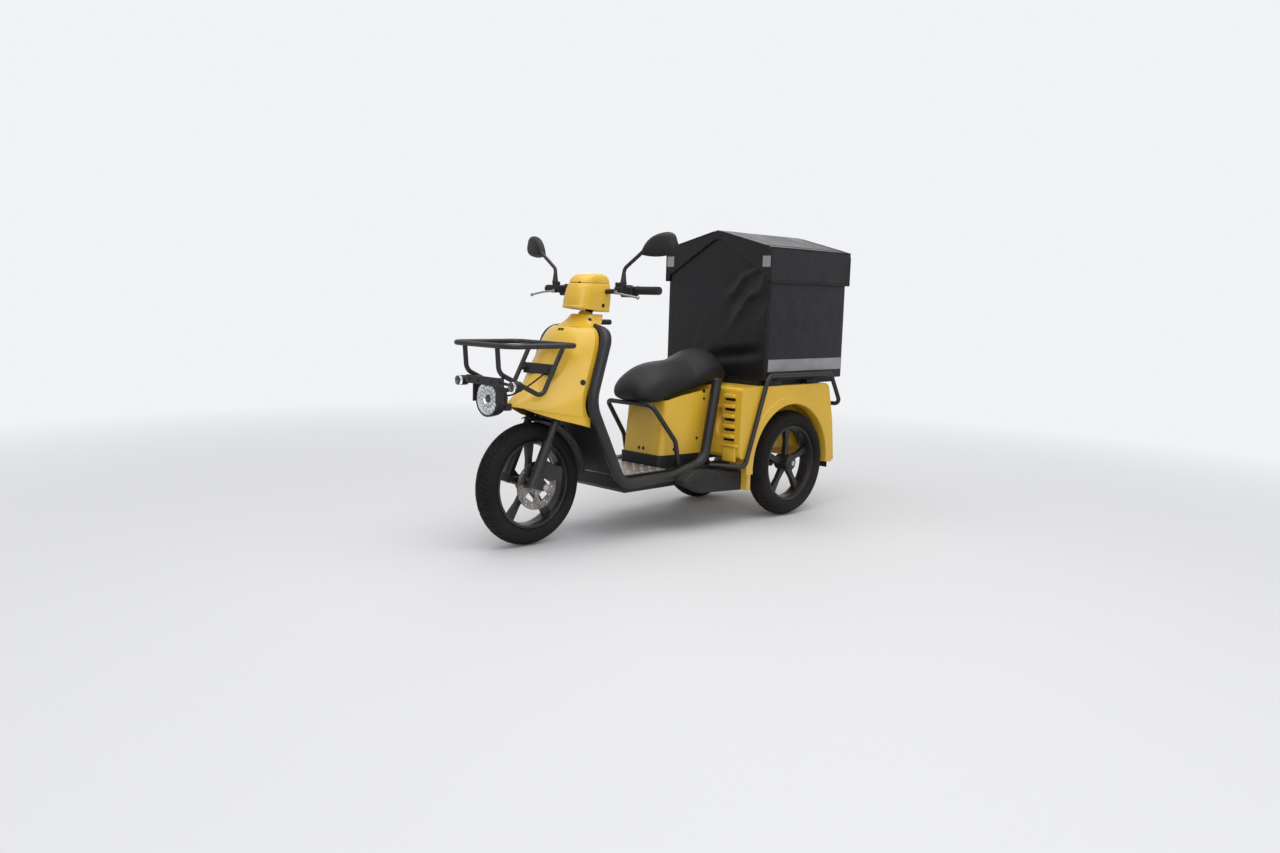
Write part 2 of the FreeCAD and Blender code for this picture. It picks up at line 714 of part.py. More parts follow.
def seat_hoop():
    """Thin hoop that rises from the footboard and carries the saddle's nose."""
    low = size("floor_height") - size("board_thickness")
    foot = size("frame_half") - 37
    half = [(0, -833, 583, 0), (foot - 23, -833, 583, 34), (foot, -694, 410, 60), (foot, -668, low + 2.7, 0)]
    hoop = fused(both_sides(bent_tube(half, size("thin_tube"))))
    hoop = hoop.cut(in_frame("saddle", "rear")).cut(frame_in("rear", size("rest_gap")))
    shape_node("seat_hoop", max(hoop.Solids, key=lambda solid: solid.Volume), "rear")


def guard_rail():
    """Rail around the rear body: up in front of each wheel, along the box and across the back."""
    half = size("body_half") + size("thin_tube") / 2 + 1
    left = [
        (size("frame_half") + 4, -506, 288, 0), (half, -398, 285, 34), (half, -243, 716, 44), (half, 268, 712, 44),
        (half, 366, 548, 40), (0, 366, 548, 0),
    ]
    rail = fused(both_sides(bent_tube(left, size("thin_tube"))))
    shape_node("guard_rail", rail.cut(frame_in("rear", size("rest_gap"))), "rear")


def front_rack():
    """Rack in front of the shield: a closed loop on two bent ribs."""
    tube = size("thin_tube")
    loop = [(0, -262, 864, 0), (200, -262, 864, 60), (200, 93, 864, 44), (0, 93, 864, 0)]
    rib = [(110, -255, 857, 0), (110, -246, 754, 46), (110, -22, 648, 36), (110, 90, 857, 0)]
    shapes = both_sides(bent_tube(loop, tube)) + both_sides(bent_tube(rib, tube - 2))
    shape_node("front_rack", fused(shapes), "front")


def rack_brackets():
    """Plate that bolts the rack to the shield, and the lamp carrier below its front."""
    rear = [block((-99.7, 44, 734), (99.7, 50, 780))]
    rear += [round_bar((x, 50, 757), (x, 100, 757), 26) for x in (-62, 62)]
    rear = fused(rear).cut(in_frame("leg_shield", "front"))
    rear = max(rear.Solids, key=lambda solid: solid.Volume)
    ear = size("lamp_diameter") / 2 + size("rest_gap")
    front = [block((-124, -236, 698), (124, -230, 733))]
    front += both_sides(block((ear, -236, 626), (ear + 4, -196, 732)))
    shape_node("rack_brackets", Part.makeCompound([rear, fused(front)]), "front")


def in_frame(label, frame):
    """Copy of a finished node's shape, drawn in the front or rear frame."""
    doc.recompute()
    shape = next(item for item in nodes if item.Label == label).Shape.copy()
    shape.translate(Vector(0, -frame_y(frame), -ride_height()))
    return shape


def shield_section(front, side, back, half, nose, sag):
    """Horizontal section of the leg shield: nose arc, flat flanks and side walls."""
    return [
        (-half, back), (-half, side), (-nose, front + sag), (0, front - sag * 0.1, nose, front + sag),
        (half, side), (half, back),
    ]


def leg_shield():
    """Front shell: shoulders, flat flanks and a beak over the wheel, open behind."""
    rows = [
        # height, nose, flank rear, edge rear, half width, nose half width, nose depth
        (545, -100, 145, 186, 184, 44, 20),
        (603, -111, 138, 156, 184, 44, 20),
        (663, -28, 142, 165, 184, 74, 24),
        (735, 46, 162, 188, 184, 108, 26),
        (818, 104, 188, 213, 183, 118, 26),
        (900, 150, 216, 238, 166, 104, 24),
        (938, 186, 232, 246, 122, 74, 20),
    ]
    wall = size("shell_wall")
    body = new_body("leg_shield")
    outer = [(height, shield_section(*rest)) for height, *rest in rows]
    add_loft(body, "skin", "XY_Plane", outer)
    doc.recompute()
    inner = [(height - (6 if height == 545 else 0) - (wall + 4 if height == 938 else 0),
              shield_section(front + wall * 1.3, side + wall, back + 30, half - wall, nose - 1, sag))
             for height, front, side, back, half, nose, sag in rows]
    add_loft(body, "hollow", "XY_Plane", inner, cut=True)
    doc.recompute()
    below = [(-160, 500), (220, 500), (220, 548), (-160, 612)]
    add_pad(body, "lower_edge", add_sketch(body, "lower_outline", "YZ_Plane", below), "600",
            symmetric=True, cut=True)
    cleared(body, "leg_shield", "front")


def cleared(body, label, frame, extra=0.4):
    """Node made from a body with room cut for the frame tubes."""
    place(body, frame)
    solids, _ = frame_solids(extra)
    cut_by(body, label, solids + steering_room(), lambda tool: place(tool, "front"))


def inner_panel():
    """Rider's side of the leg shield, with the housing over the steering head."""
    body = new_body("inner_panel")
    half = size("frame_half") - size("main_tube") / 2 - 1
    depth = size("panel_thickness")
    low = size("floor_height") + 6
    band = [
        (252, 925), (164, 640), (160, 612, 172, 585), (322, low), (322 + depth * 1.25, low),
        (172 + depth, 590), (160 + depth, 614, 164 + depth, 642), (252 + depth, 925),
    ]
    add_pad(body, "panel", add_sketch(body, "panel_outline", "YZ_Plane", band), str(2 * half), symmetric=True)
    spine = rounded([(186, 650, 0), (250, 650, 30), (352, 930, 20), (270, 934, 0)])
    add_pad(body, "spine", add_sketch(body, "spine_outline", "YZ_Plane", spine), "112", symmetric=True)
    cover = rounded([(198, 544, 0), (236, 540, 18), (254, 640, 40), (206, 735, 0), (178, 640, 0)])
    add_pad(body, "yoke_cover", add_sketch(body, "cover_outline", "YZ_Plane", cover), "264", symmetric=True)
    cleared(body, "inner_panel", "front")


def neck():
    """Collar between the shield and the handlebar cowl."""
    rows = [
        # height, front, rear, half width
        (938.3, 190, 300, 104),
        (966, 230, 338, 76),
        (991, 248, 356, 60),
    ]
    body = new_body("neck")
    sections = [(height, [(-half, rear), (-half, front + 50), (-half * 0.7, front + 12, 0, front),
                          (half * 0.7, front + 12, half, front + 50), (half, rear)])
                for height, front, rear, half in rows]
    add_loft(body, "collar", "XY_Plane", sections)
    doc.recompute()
    cleared(body, "neck", "front")


def floor_pan():
    """Black pan between the side tubes, with the seat's plinth behind it."""
    body = new_body("floor_pan")
    half = size("frame_half") - size("main_tube") / 2 - 1
    long = size("wheelbase")
    low = size("floor_height")
    top = low - size("board_thickness") - size("rest_gap")
    side = [
        (342, top), (352, low - 60), (400, low - 84), (long - 590, low - 84), (long - 512, low - 60),
        (long - 512, top),
    ]
    add_pad(body, "pan", add_sketch(body, "side_outline", "YZ_Plane", side), str(2 * half), symmetric=True)
    plinth = rounded([(-128, long - 762, 26), (128, long - 762, 26), (158, long - 436, 0), (-158, long - 436, 0)])
    add_pad(body, "plinth", add_sketch(body, "plinth_outline", "XY_Plane", plinth, top - 1), "56")
    cleared(body, "floor_pan", "front")


def footboard():
    """Two chequer plates on the floor pan, in front of the seat."""
    long = size("wheelbase")
    half = size("frame_half") - size("main_tube") / 2 - 3
    low = size("floor_height") - size("board_thickness")
    first = 348
    last = long - 768
    split = first + (last - first) * 0.49
    plates = []
    for start, end in ((first, split), (split + 4, last)):
        plates.append(block((-half, start, low), (half, end, low + size("board_thickness"))))
    solids, bore = frame_solids(0.4)
    boards = [plate.cut(solids[0].multiFuse(solids[1:])) for plate in plates]
    shape_node("footboard", Part.makeCompound(boards), "front")


def footrest_pods():
    """Moulded covers over the frame's lower corners, outside the side tubes."""
    inner = size("frame_half") + size("main_tube") / 2 + 0.5
    side = [(-769, 236), (-690, 280), (-600, 284), (-480, 266), (-300, 256), (-284, 224), (-338, 160), (-630, 176)]
    corners = rounded([(y, z, 14) for y, z in side])
    pod = Part.Face(outline_edges(corners, 0)).extrude(Vector(0, 0, 60))
    outer = [edge for edge in pod.Edges if min(vertex.Z for vertex in edge.Vertexes) > 59]
    pod = pod.makeFillet(12, outer)
    turn = FreeCAD.Matrix(0, 0, 1, inner, 1, 0, 0, 0, 0, 1, 0, 0, 0, 0, 0, 1)
    shape_node("footrest_pods", Part.makeCompound(both_sides(pod.transformGeometry(turn))), "rear")


def seat_body():
    """Moulded body below the saddle: an open-topped shell with a sloping rim."""
    body = new_body("seat_body")
    base = size("floor_height") + 50.4
    rows = [
        # height, front, back, front half width, back half width, corner
        (base, -748, -436, 126, 160, 30),
        (675, -712, -436, 128, 162, 30),
    ]
    wall = size("shell_wall")

    def plan(front, back, front_half, back_half, corner):
        return rounded([(-front_half, front, corner), (front_half, front, corner),
                        (back_half, back, 4), (-back_half, back, 4)])

    add_loft(body, "skin", "XY_Plane", [(height, plan(*rest)) for height, *rest in rows], ruled=True)
    doc.recompute()
    inner = [(height + lift, plan(front + wall, back - wall, front_half - wall, back_half - wall, corner - wall))
             for (height, front, back, front_half, back_half, corner), lift in zip(rows, (wall, 2))]
    add_loft(body, "hollow", "XY_Plane", inner, cut=True, ruled=True)
    doc.recompute()
    above = [(-760, 586), (-622, 619), (-430, 650), (-430, 700), (-760, 700)]
    add_pad(body, "rim_cut", add_sketch(body, "rim_outline", "YZ_Plane", above), "500", symmetric=True, cut=True)
    place(body, "rear")


def battery_block():
    """Traction battery below the saddle, as one plain block."""
    body = new_body("battery_block")
    base = size("floor_height") + 50.4 + size("shell_wall") + size("rest_gap")
    plan = [(-100, -708), (100, -708), (100, -452), (-100, -452)]
    add_pad(body, "case", add_sketch(body, "plan", "XY_Plane", plan, base), "220")
    place(body, "rear")


def saddle_section(half, bottom, side, top):
    """Upright section of the saddle: flat base, bulging sides and a crowned top."""
    return [
        (-half * 0.82, bottom), (half * 0.82, bottom), (half, (bottom + side) / 2, half * 0.97, side),
        (0, top, -half * 0.97, side), (-half, (bottom + side) / 2, -half * 0.82, bottom),
    ]


def saddle():
    """Saddle with a dropped nose and a raised rear pad."""
    rows = [
        # station, half width, bottom, side height, top
        (-868, 62, 604, 622, 640),
        (-825, 112, 590.6, 660, 702),
        (-745, 140, 590.6, 690, 750),
        (-622, 152, 626, 702, 771),
        (-520, 158, 650, 718, 784),
        (-420, 158, 670, 748, 822),
        (-335, 144, 674, 740, 814),
        (-270, 100, 688, 718, 765),
    ]
    body = new_body("saddle")
    sections = [(-station, saddle_section(*rest)) for station, *rest in rows]
    add_loft(body, "cushion", "XZ_Plane", sections)
    place(body, "rear")


def rear_body():
    """Full-width rear moulding with wheel housings, louvres and an open underside."""
    body = new_body("rear_body")
    top = size("body_top")
    side = rounded([
        (-428, 300, 26), (-428, top, 20), (272, top, 44), (320, 465, 60), (346, 255, 6), (292, 246, 4),
        (292, 330, 30), (-380, 330, 20)])
    add_pad(body, "block", add_sketch(body, "side_outline", "YZ_Plane", side), "Sizes.body_half * 2", symmetric=True)
    doc.recompute()
    radius = size("tyre_diameter") / 2
    centre = size("axle_height")
    front, top_front, top_rear, rear = -1.404 * radius, -1.068 * radius, 0.792 * radius, 1.102 * radius
    foot = centre - 0.396 * radius
    arch = [
        (front, foot), (top_front, centre + 0.898 * radius),
        (-0.113 * radius, centre + 1.234 * radius, top_rear, centre + 0.804 * radius),
        (1.042 * radius, centre + 0.479 * radius, rear, centre - 0.011 * radius), (rear, foot),
    ]
    well = size("well_inner")
    for name, start in (("left", well), ("right", -size("body_half") - 1)):
        add_pad(body, f"{name}_well", add_sketch(body, f"{name}_arch", "YZ_Plane", arch, start),
                "Sizes.body_half - Sizes.well_inner + 1", cut=True, reverse=True)
    doc.recompute()
    slots = add_sketch(body, "slot_outlines", "XZ_Plane", offset=428)
    for row in range(5):
        low = 404 + row * 48
        for flip in (1, -1):
            draw(slots, rounded([(flip * x, z, 5) for x, z in
                                 ((236, low), (304, low), (304, low + 15), (236, low + 15))]))
    add_pad(body, "louvres", slots, "26", cut=True)
    cleared(body, "rear_body", "rear")


def tail_lamps():
    """Tail lamp on each rear corner."""
    lamps = [lamp.cut(in_frame("rear_body", "rear")) for lamp in both_sides(block((262, 318, 345), (326, 352, 388), 5))]
    shape_node("tail_lamps", Part.makeCompound(lamps), "rear")


def rear_axle():
    """Rear axle beam with its stub axles and the two arms that carry it from the frame."""
    radius = size("axle_height")
    inner = size("well_inner") - 14
    outer = size("rear_track") / 2 + 44
    beam = Part.makeCylinder(32, 2 * inner, Vector(-inner, 0, radius), Vector(1, 0, 0))
    stub = Part.makeCylinder(12.5, 2 * outer, Vector(-outer, 0, radius), Vector(1, 0, 0))
    drive = block((-90, -70, radius - 60), (90, 60, radius + 55), 14)
    arms = both_sides(block((112, -480, radius - 22), (150, 20, radius + 18), 8))
    axle = fused([beam, stub, drive] + arms).cut(frame_in("rear", size("rest_gap")))
    shape_node("rear_axle", axle, "rear")


def cargo_tray():
    """Carrier tray between the rear body and the box, with two feet on each side."""
    low = size("body_top") + size("rest_gap")
    high = low + size("tray_thickness")
    plate = block((-296, -250, low), (296, 385, high))
    feet = [block((290, y, low), (334, y + 84, high)) for y in (-206, 92)]
    shapes = [plate] + [side for foot in feet for side in both_sides(foot)]
    shape_node("cargo_tray", fused(shapes), "rear")


def gable(half, eave, ridge, low):
    """Upright section of the box: straight sides and a gabled top."""
    return [(-half, low), (half, low), (half, eave), (0, ridge), (-half, eave)]


def cargo_box():
    """Fabric box: floor, low side walls and gabled front and rear walls, open on top."""
    body = new_body("cargo_box")
    half = size("box_half")
    front = size("box_front")
    rear = size("box_rear")
    wall = size("box_wall")
    low = size("body_top") + 2 * size("rest_gap") + size("tray_thickness")
    under = size("lid_wall") * 1.05 + size("rest_gap")
    eave = size("lid_eave") - under
    ridge = size("lid_eave") + size("lid_rise") - under
    shoulder = half - 16
    eave += (half - shoulder) * (ridge - eave) / half
    side_top = size("box_wall_top")
    outline = [(-half, low), (half, low), (half, side_top), (shoulder, eave), (0, ridge), (-shoulder, eave),
               (-half, side_top)]
    add_pad(body, "block", add_sketch(body, "front_outline", "XZ_Plane", outline, -rear), str(rear - front))
    doc.recompute()
    space = [(wall - half, low + wall), (half - wall, low + wall), (half - wall, 1500), (wall - half, 1500)]
    add_pad(body, "inside", add_sketch(body, "inside_outline", "XZ_Plane", space, wall - rear),
            str(rear - front - 2 * wall), cut=True, reverse=True)
    doc.recompute()
    above = [(-half - 5, size("box_wall_top")), (half + 5, size("box_wall_top")), (half + 5, 1500), (-half - 5, 1500)]
    add_pad(body, "wall_tops", add_sketch(body, "top_outline", "XZ_Plane", above, wall - rear),
            str(rear - front - 2 * wall), cut=True, reverse=True)
    place(body, "rear")


def cargo_lid():
    """Gabled lid with side flaps and a band that follows each gable."""
    body = new_body("cargo_lid")
    wall = size("lid_wall")
    half = size("box_half") + size("lid_gap") + wall
    front = size("box_front") - size("rest_gap") - wall
    rear = size("box_rear") + size("rest_gap") + wall
    eave = size("lid_eave")
    ridge = eave + size("lid_rise")
    low = size("lid_skirt_bottom")
    add_pad(body, "block", add_sketch(body, "outline", "XZ_Plane", gable(half, eave, ridge, low), -rear),
            str(rear - front))
    doc.recompute()
    under = wall * 1.05
    inside = gable(half - wall, eave - under + 3, ridge - under, low - 5)
    add_pad(body, "inside", add_sketch(body, "inside_outline", "XZ_Plane", inside, wall - rear),
            str(rear - front - 2 * wall), cut=True, reverse=True)
    doc.recompute()
    window = [(-half + 22, low - 5), (half - 22, low - 5), (half - 26, low + 30), (18, ridge - 46),
              (-18, ridge - 46), (26 - half, low + 30)]
    add_pad(body, "windows", add_sketch(body, "window_outline", "XZ_Plane", window, -rear),
            str(rear - front), cut=True, reverse=True)
    place(body, "rear")


def headlamp():
    """Round headlamp: bucket with a rim, and a clear lens with a raised ring."""
    radius = size("lamp_diameter") / 2
    depth = size("lamp_depth")
    bucket = new_body("headlamp_bucket")
    steps = [
        (0, depth), (radius * 0.45, depth), (radius * 0.86, depth * 0.72, radius - 2, depth * 0.3),
        (radius, depth * 0.2), (radius, 0), (radius - 7, 0), (radius - 7, 12), (0, 12),
    ]
    add_turn(bucket, "turn", add_sketch(bucket, "section", "XY_Plane", steps), "Y_Axis")
    place(bucket, "front", y="-224", z="641")
    lens = new_body("headlamp_lens")
    glass = [(0, 11.7), (radius - 7.4, 11.7), (radius - 7.4, 2), (radius * 0.5, -3, 6, -5), (0, -5)]
    add_turn(lens, "turn", add_sketch(lens, "section", "XY_Plane", glass), "Y_Axis")
    place(lens, "front", y="-224", z="641")


def lamp_bracket():
    """Arms from the shield's nose to the headlamp."""
    arm = block((-26, -145.7, 588), (26, -111.6, 618), 4)
    shape_node("lamp_bracket", arm, "front")


def indicators():
    """Front indicators on short stalks, with clear lenses."""
    stalk = round_bar((112, -233, 714), (166, -212, 705), 12).cut(in_frame("rack_brackets", "front"))
    stalk = max(stalk.Solids, key=lambda solid: solid.BoundBox.XMax)
    shell = round_bar((182, -228, 704), (182, -196, 704), 42)
    lens = round_bar((182, -240, 704), (182, -228.3, 704), 40)
    shape_node("indicators", Part.makeCompound(both_sides(stalk.fuse(shell))), "front")
    shape_node("indicator_lenses", Part.makeCompound(both_sides(lens)), "front")


def bag_peg():
    """Short peg behind the steering head."""
    peg = round_bar((52, 318, 958), (52, 408, 958), 24).cut(in_frame("neck", "front"))
    shape_node("bag_peg", peg.cut(frame_in("front", size("rest_gap"))), "front")


def write_parts():
    """Check every object and sub-part, then write one file for each node."""
    doc.recompute()
    for item in doc.Objects:
        if "Invalid" in item.State or "Error" in item.State:
            raise RuntimeError(f"{item.Label} failed: {item.State}")
    os.makedirs("parts", exist_ok=True)
    for item in nodes:
        if item.Shape.isNull() or not item.Shape.isValid() or item.Shape.Volume <= 0:
            raise RuntimeError(f"{item.Label} has no valid shape")
        item.Shape.exportStep(f"parts/{item.Label}.step")


tyre("front_tyre", "front", "0", "front_tyre_width")
rim("front_rim", "front", "0", 1, size("front_hub_width") / 2, size("disc_gap"), size("axle_diameter") + 0.6)
brake_disc()
for side, name in ((1, "left"), (-1, "right")):
    tyre(f"rear_tyre_{name}", "rear", f"{side} * Sizes.rear_track / 2", "rear_tyre_width")
    rim(f"rear_rim_{name}", "rear", f"{side} * Sizes.rear_track / 2", side, 42, 6, 25.6)
fork()
steering_stem()
front_axle()
brake_caliper()
front_mudguard()
handlebar()
bar_controls()
cowl()
main_frame()
guard_rail()
front_rack()
leg_shield()
rack_brackets()
inner_panel()
neck()
floor_pan()
footboard()
footrest_pods()
seat_body()
battery_block()
saddle()
seat_hoop()
rear_body()
tail_lamps()
rear_axle()
cargo_tray()
cargo_box()
cargo_lid()
headlamp()
lamp_bracket()
indicators()
bag_peg()
write_parts()
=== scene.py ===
import logging
import math
from dataclasses import dataclass
from enum import Enum

import bmesh
import bpy
from mathutils import Matrix, Vector, noise
from mathutils.bvhtree import BVHTree


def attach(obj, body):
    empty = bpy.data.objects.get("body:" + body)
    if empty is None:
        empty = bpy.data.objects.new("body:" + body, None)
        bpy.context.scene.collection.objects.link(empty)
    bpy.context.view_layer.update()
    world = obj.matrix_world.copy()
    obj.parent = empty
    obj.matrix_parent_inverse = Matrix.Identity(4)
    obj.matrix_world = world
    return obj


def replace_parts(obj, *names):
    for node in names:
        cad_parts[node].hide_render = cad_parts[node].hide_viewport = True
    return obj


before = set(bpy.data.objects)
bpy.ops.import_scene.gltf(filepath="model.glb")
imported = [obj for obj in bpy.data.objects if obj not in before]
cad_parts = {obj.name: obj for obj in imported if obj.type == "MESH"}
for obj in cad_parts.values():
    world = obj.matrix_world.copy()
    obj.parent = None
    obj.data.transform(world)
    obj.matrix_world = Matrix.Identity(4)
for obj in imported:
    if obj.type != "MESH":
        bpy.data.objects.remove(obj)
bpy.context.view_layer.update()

log = logging.getLogger("scooter")
Point = tuple[float, float, float]
Colour = tuple[float, float, float]

# Axles, the left rear wheel, the middle of the handlebar and the steering axis, which leans back by the rake
FRONT_Y = -0.7765
REAR_X = 0.285
REAR_Y = 0.6495
AXLE_Z = 0.265
BAR = Vector((0.0, -0.40717, 1.09134))
RAKE_DEG = 25.0
RAKE = math.radians(RAKE_DEG)
STEERING_AXIS = Vector((0.0, math.sin(RAKE), math.cos(RAKE)))
STEERING_TURN = STEERING_AXIS.to_track_quat("X", "Y").to_matrix().to_4x4()


class Body(Enum):
    """Bodies of the part that pieces ride on."""

    CHASSIS = "chassis"
    STEERING = "steering"
    FRONT_WHEEL = "front_wheel"
    REAR_LEFT = "rear_wheel_left"
    REAR_RIGHT = "rear_wheel_right"
    LID = "cargo_lid"


class Slot(Enum):
    """Material slots of the record."""

    YELLOW = "yellow_body"
    TYRE = "tyre_rubber"
    WHEEL = "black_wheel"
    DISC = "disc_steel"
    FRAME = "black_frame"
    PLASTIC = "black_plastic"
    GREY = "grey_plastic"
    PLATE = "plate_aluminium"
    LEVER = "lever_aluminium"
    GRIP = "grip_rubber"
    SADDLE = "saddle_vinyl"
    FABRIC = "box_fabric"
    GLASS = "lamp_glass"
    TAIL = "tail_lens"
    BATTERY = "battery_case"


class Graph:
    """Adds and joins the nodes of one node tree."""

    def __init__(self, tree: bpy.types.NodeTree) -> None:
        """Keep the tree.

        Args:
            tree: The material's or group's node tree.
        """
        self.tree = tree

    def add(self, kind: str, inputs: dict | None = None, **settings: object) -> bpy.types.Node:
        """Add a node.

        Args:
            kind: The node's type name without its ShaderNode prefix.
            inputs: Values or sockets for named or numbered inputs.
            settings: The node's own properties.

        Returns:
            The new node.
        """
        node = self.tree.nodes.new("ShaderNode" + kind)
        for key, value in settings.items():
            setattr(node, key, value)
        for key, value in (inputs or {}).items():
            self.feed(node.inputs[key], value)
        return node

    def feed(self, socket: bpy.types.NodeSocket, value: object) -> None:
        """Set a socket's value, or join another socket to it.

        Args:
            socket: The input to feed.
            value: A socket, number, vector or colour.
        """
        if isinstance(value, bpy.types.NodeSocket):
            self.tree.links.new(value, socket)
        elif isinstance(value, tuple) and len(value) == 3 and socket.type == "RGBA":
            socket.default_value = (*value, 1.0)
        else:
            socket.default_value = value

    def remap(self, value: object, low: float, high: float, start: float = 0.0, end: float = 1.0) -> object:
        """Map low..high to start..end, clamped.

        Args:
            value: The socket to map.
            low: Value that gives start.
            high: Value that gives end.
            start: First output.
            end: Last output.

        Returns:
            The mapped socket.
        """
        node = self.add("MapRange", {"Value": value, "From Min": low, "From Max": high,
                                     "To Min": start, "To Max": end})
        return node.outputs["Result"]

    def math(self, operation: str, first: object, second: object = 0.0) -> object:
        """Join two values by a Math node.

        Args:
            operation: Name of the operation.
            first: First value or socket.
            second: Second value or socket.

        Returns:
            The result socket.
        """
        return self.add("Math", {0: first, 1: second}, operation=operation).outputs[0]

    def blend(self, mask: object, base: object, other: object) -> object:
        """Mix two colours by a mask.

        Args:
            mask: Factor from 0 to 1.
            base: Colour where the mask is 0.
            other: Colour where the mask is 1.

        Returns:
            The mixed colour socket.
        """
        node = self.add("Mix", data_type="RGBA")
        self.feed(node.inputs[0], mask)
        self.feed(node.inputs[6], base)
        self.feed(node.inputs[7], other)
        return node.outputs[2]


class Effects:
    """Shader groups that more than one material uses, each built once."""

    made: dict[str, bpy.types.NodeTree] = {}

    @classmethod
    def group(cls, name: str) -> bpy.types.NodeTree:
        """Fetch a group, building it the first time.

        Args:
            name: One of wear, dust, grain, weave.

        Returns:
            The group's node tree.
        """
        if name not in cls.made:
            tree = bpy.data.node_groups.new(name, "ShaderNodeTree")
            cls.made[name] = tree
            getattr(cls, "_" + name)(tree)
        return cls.made[name]

    @staticmethod
    def _sockets(tree: bpy.types.NodeTree, values: dict[str, float], outputs: list[str]) -> tuple:
        """Give a group its sockets and its input and output nodes.

        Args:
            tree: The group.
            values: Names and first values of number inputs.
            outputs: Names of number outputs.

        Returns:
            The graph, the inputs' outputs and the output node.
        """
        vector = tree.interface.new_socket("Vector", in_out="INPUT", socket_type="NodeSocketVector")
        vector.description = "Object coordinates"
        for name, value in values.items():
            tree.interface.new_socket(name, in_out="INPUT",
                                      socket_type="NodeSocketFloat").default_value = value
        for name in outputs:
            tree.interface.new_socket(name, in_out="OUTPUT", socket_type="NodeSocketFloat")
        source = tree.nodes.new("NodeGroupInput")
        target = tree.nodes.new("NodeGroupOutput")
        return Graph(tree), source.outputs, target.inputs

    @classmethod
    def _wear(cls, tree: bpy.types.NodeTree) -> None:
        """Rubbed edges and thin scuffs.

        Args:
            tree: The group's nodes.
        """
        graph, given, out = cls._sockets(tree, {"Edge": 0.5, "Scuffs": 0.3, "Scale": 9.0},
                                         ["Mask", "Mottle"])
        bevel = graph.add("Bevel", {"Radius": 0.0035}, samples=4)
        geometry = graph.add("NewGeometry")
        turn = graph.add("VectorMath", {0: bevel.outputs[0], 1: geometry.outputs["Normal"]},
                         operation="DOT_PRODUCT")
        edge = graph.remap(turn.outputs["Value"], 0.985, 0.90)
        patchy = graph.add("TexNoise", {"Vector": given["Vector"], "Scale": 34.0, "Detail": 5.0})
        edge = graph.math("MULTIPLY", edge, graph.remap(patchy.outputs[0], 0.48, 0.66))
        edge = graph.math("MULTIPLY", edge, given["Edge"])
        stretched = graph.add("Mapping", {"Vector": given["Vector"], "Rotation": (0.5, 0.3, 0.9),
                                          "Scale": (1.0, 7.0, 1.6)})
        lines = graph.add("TexNoise", {"Vector": stretched.outputs[0], "Scale": given["Scale"],
                                       "Detail": 9.0, "Roughness": 0.72, "Distortion": 0.4})
        where = graph.add("TexNoise", {"Vector": given["Vector"], "Scale": 3.1, "Detail": 2.0})
        scuffs = graph.math("MULTIPLY", graph.remap(lines.outputs[0], 0.615, 0.66),
                            graph.remap(where.outputs[0], 0.47, 0.62))
        scuffs = graph.math("MULTIPLY", scuffs, given["Scuffs"])
        graph.feed(out["Mask"], graph.math("MAXIMUM", edge, scuffs))
        broad = graph.add("TexNoise", {"Vector": given["Vector"], "Scale": 5.0, "Detail": 4.0})
        graph.feed(out["Mottle"], graph.remap(broad.outputs[0], 0.3, 0.7))

    @classmethod
    def _dust(cls, tree: bpy.types.NodeTree) -> None:
        """Road dust that thins with height.

        Args:
            tree: The group's nodes.
        """
        graph, given, out = cls._sockets(tree, {"Top": 0.6, "Amount": 0.4}, ["Mask"])
        split = graph.add("SeparateXYZ", {0: given["Vector"]})
        low = graph.math("SUBTRACT", 1.0, graph.math("DIVIDE", split.outputs["Z"], given["Top"]))
        cloud = graph.add("TexNoise",
                          {"Vector": given["Vector"], "Scale": 7.0, "Detail": 7.0, "Roughness": 0.65})
        mask = graph.math("MULTIPLY", graph.remap(low, 0.0, 0.9), graph.remap(cloud.outputs[0], 0.35, 0.72))
        graph.feed(out["Mask"], graph.math("MULTIPLY", mask, given["Amount"]))

    @classmethod
    def _grain(cls, tree: bpy.types.NodeTree) -> None:
        """Fine pebbled grain of mouldings and vinyl.

        Args:
            tree: The group's nodes.
        """
        graph, given, out = cls._sockets(tree, {"Scale": 700.0}, ["Height"])
        cells = graph.add("TexVoronoi", {"Vector": given["Vector"], "Scale": given["Scale"]},
                          feature="SMOOTH_F1")
        coarser = graph.math("MULTIPLY", given["Scale"], 0.4)
        fine = graph.add("TexNoise", {"Vector": given["Vector"], "Scale": coarser, "Detail": 3.0})
        graph.feed(out["Height"], graph.math("ADD", cells.outputs["Distance"], fine.outputs[0]))

    @classmethod
    def _weave(cls, tree: bpy.types.NodeTree) -> None:
        """Plain weave on upright and level faces, from the three coordinates.

        Args:
            tree: The group's nodes.
        """
        graph, given, out = cls._sockets(tree, {"Pitch": 0.0014}, ["Height", "Mottle"])
        turns = graph.math("DIVIDE", math.tau, given["Pitch"])
        split = graph.add("SeparateXYZ", {0: given["Vector"]})
        waves = [graph.math("SINE", graph.math("MULTIPLY", split.outputs[axis], turns)) for axis in "XYZ"]
        graph.feed(out["Height"], graph.math("ADD", graph.math("ADD", waves[0], waves[1]), waves[2]))
        cloud = graph.add("TexNoise",
                          {"Vector": given["Vector"], "Scale": 6.0, "Detail": 6.0, "Roughness": 0.6})
        graph.feed(out["Mottle"], graph.remap(cloud.outputs[0], 0.3, 0.72))


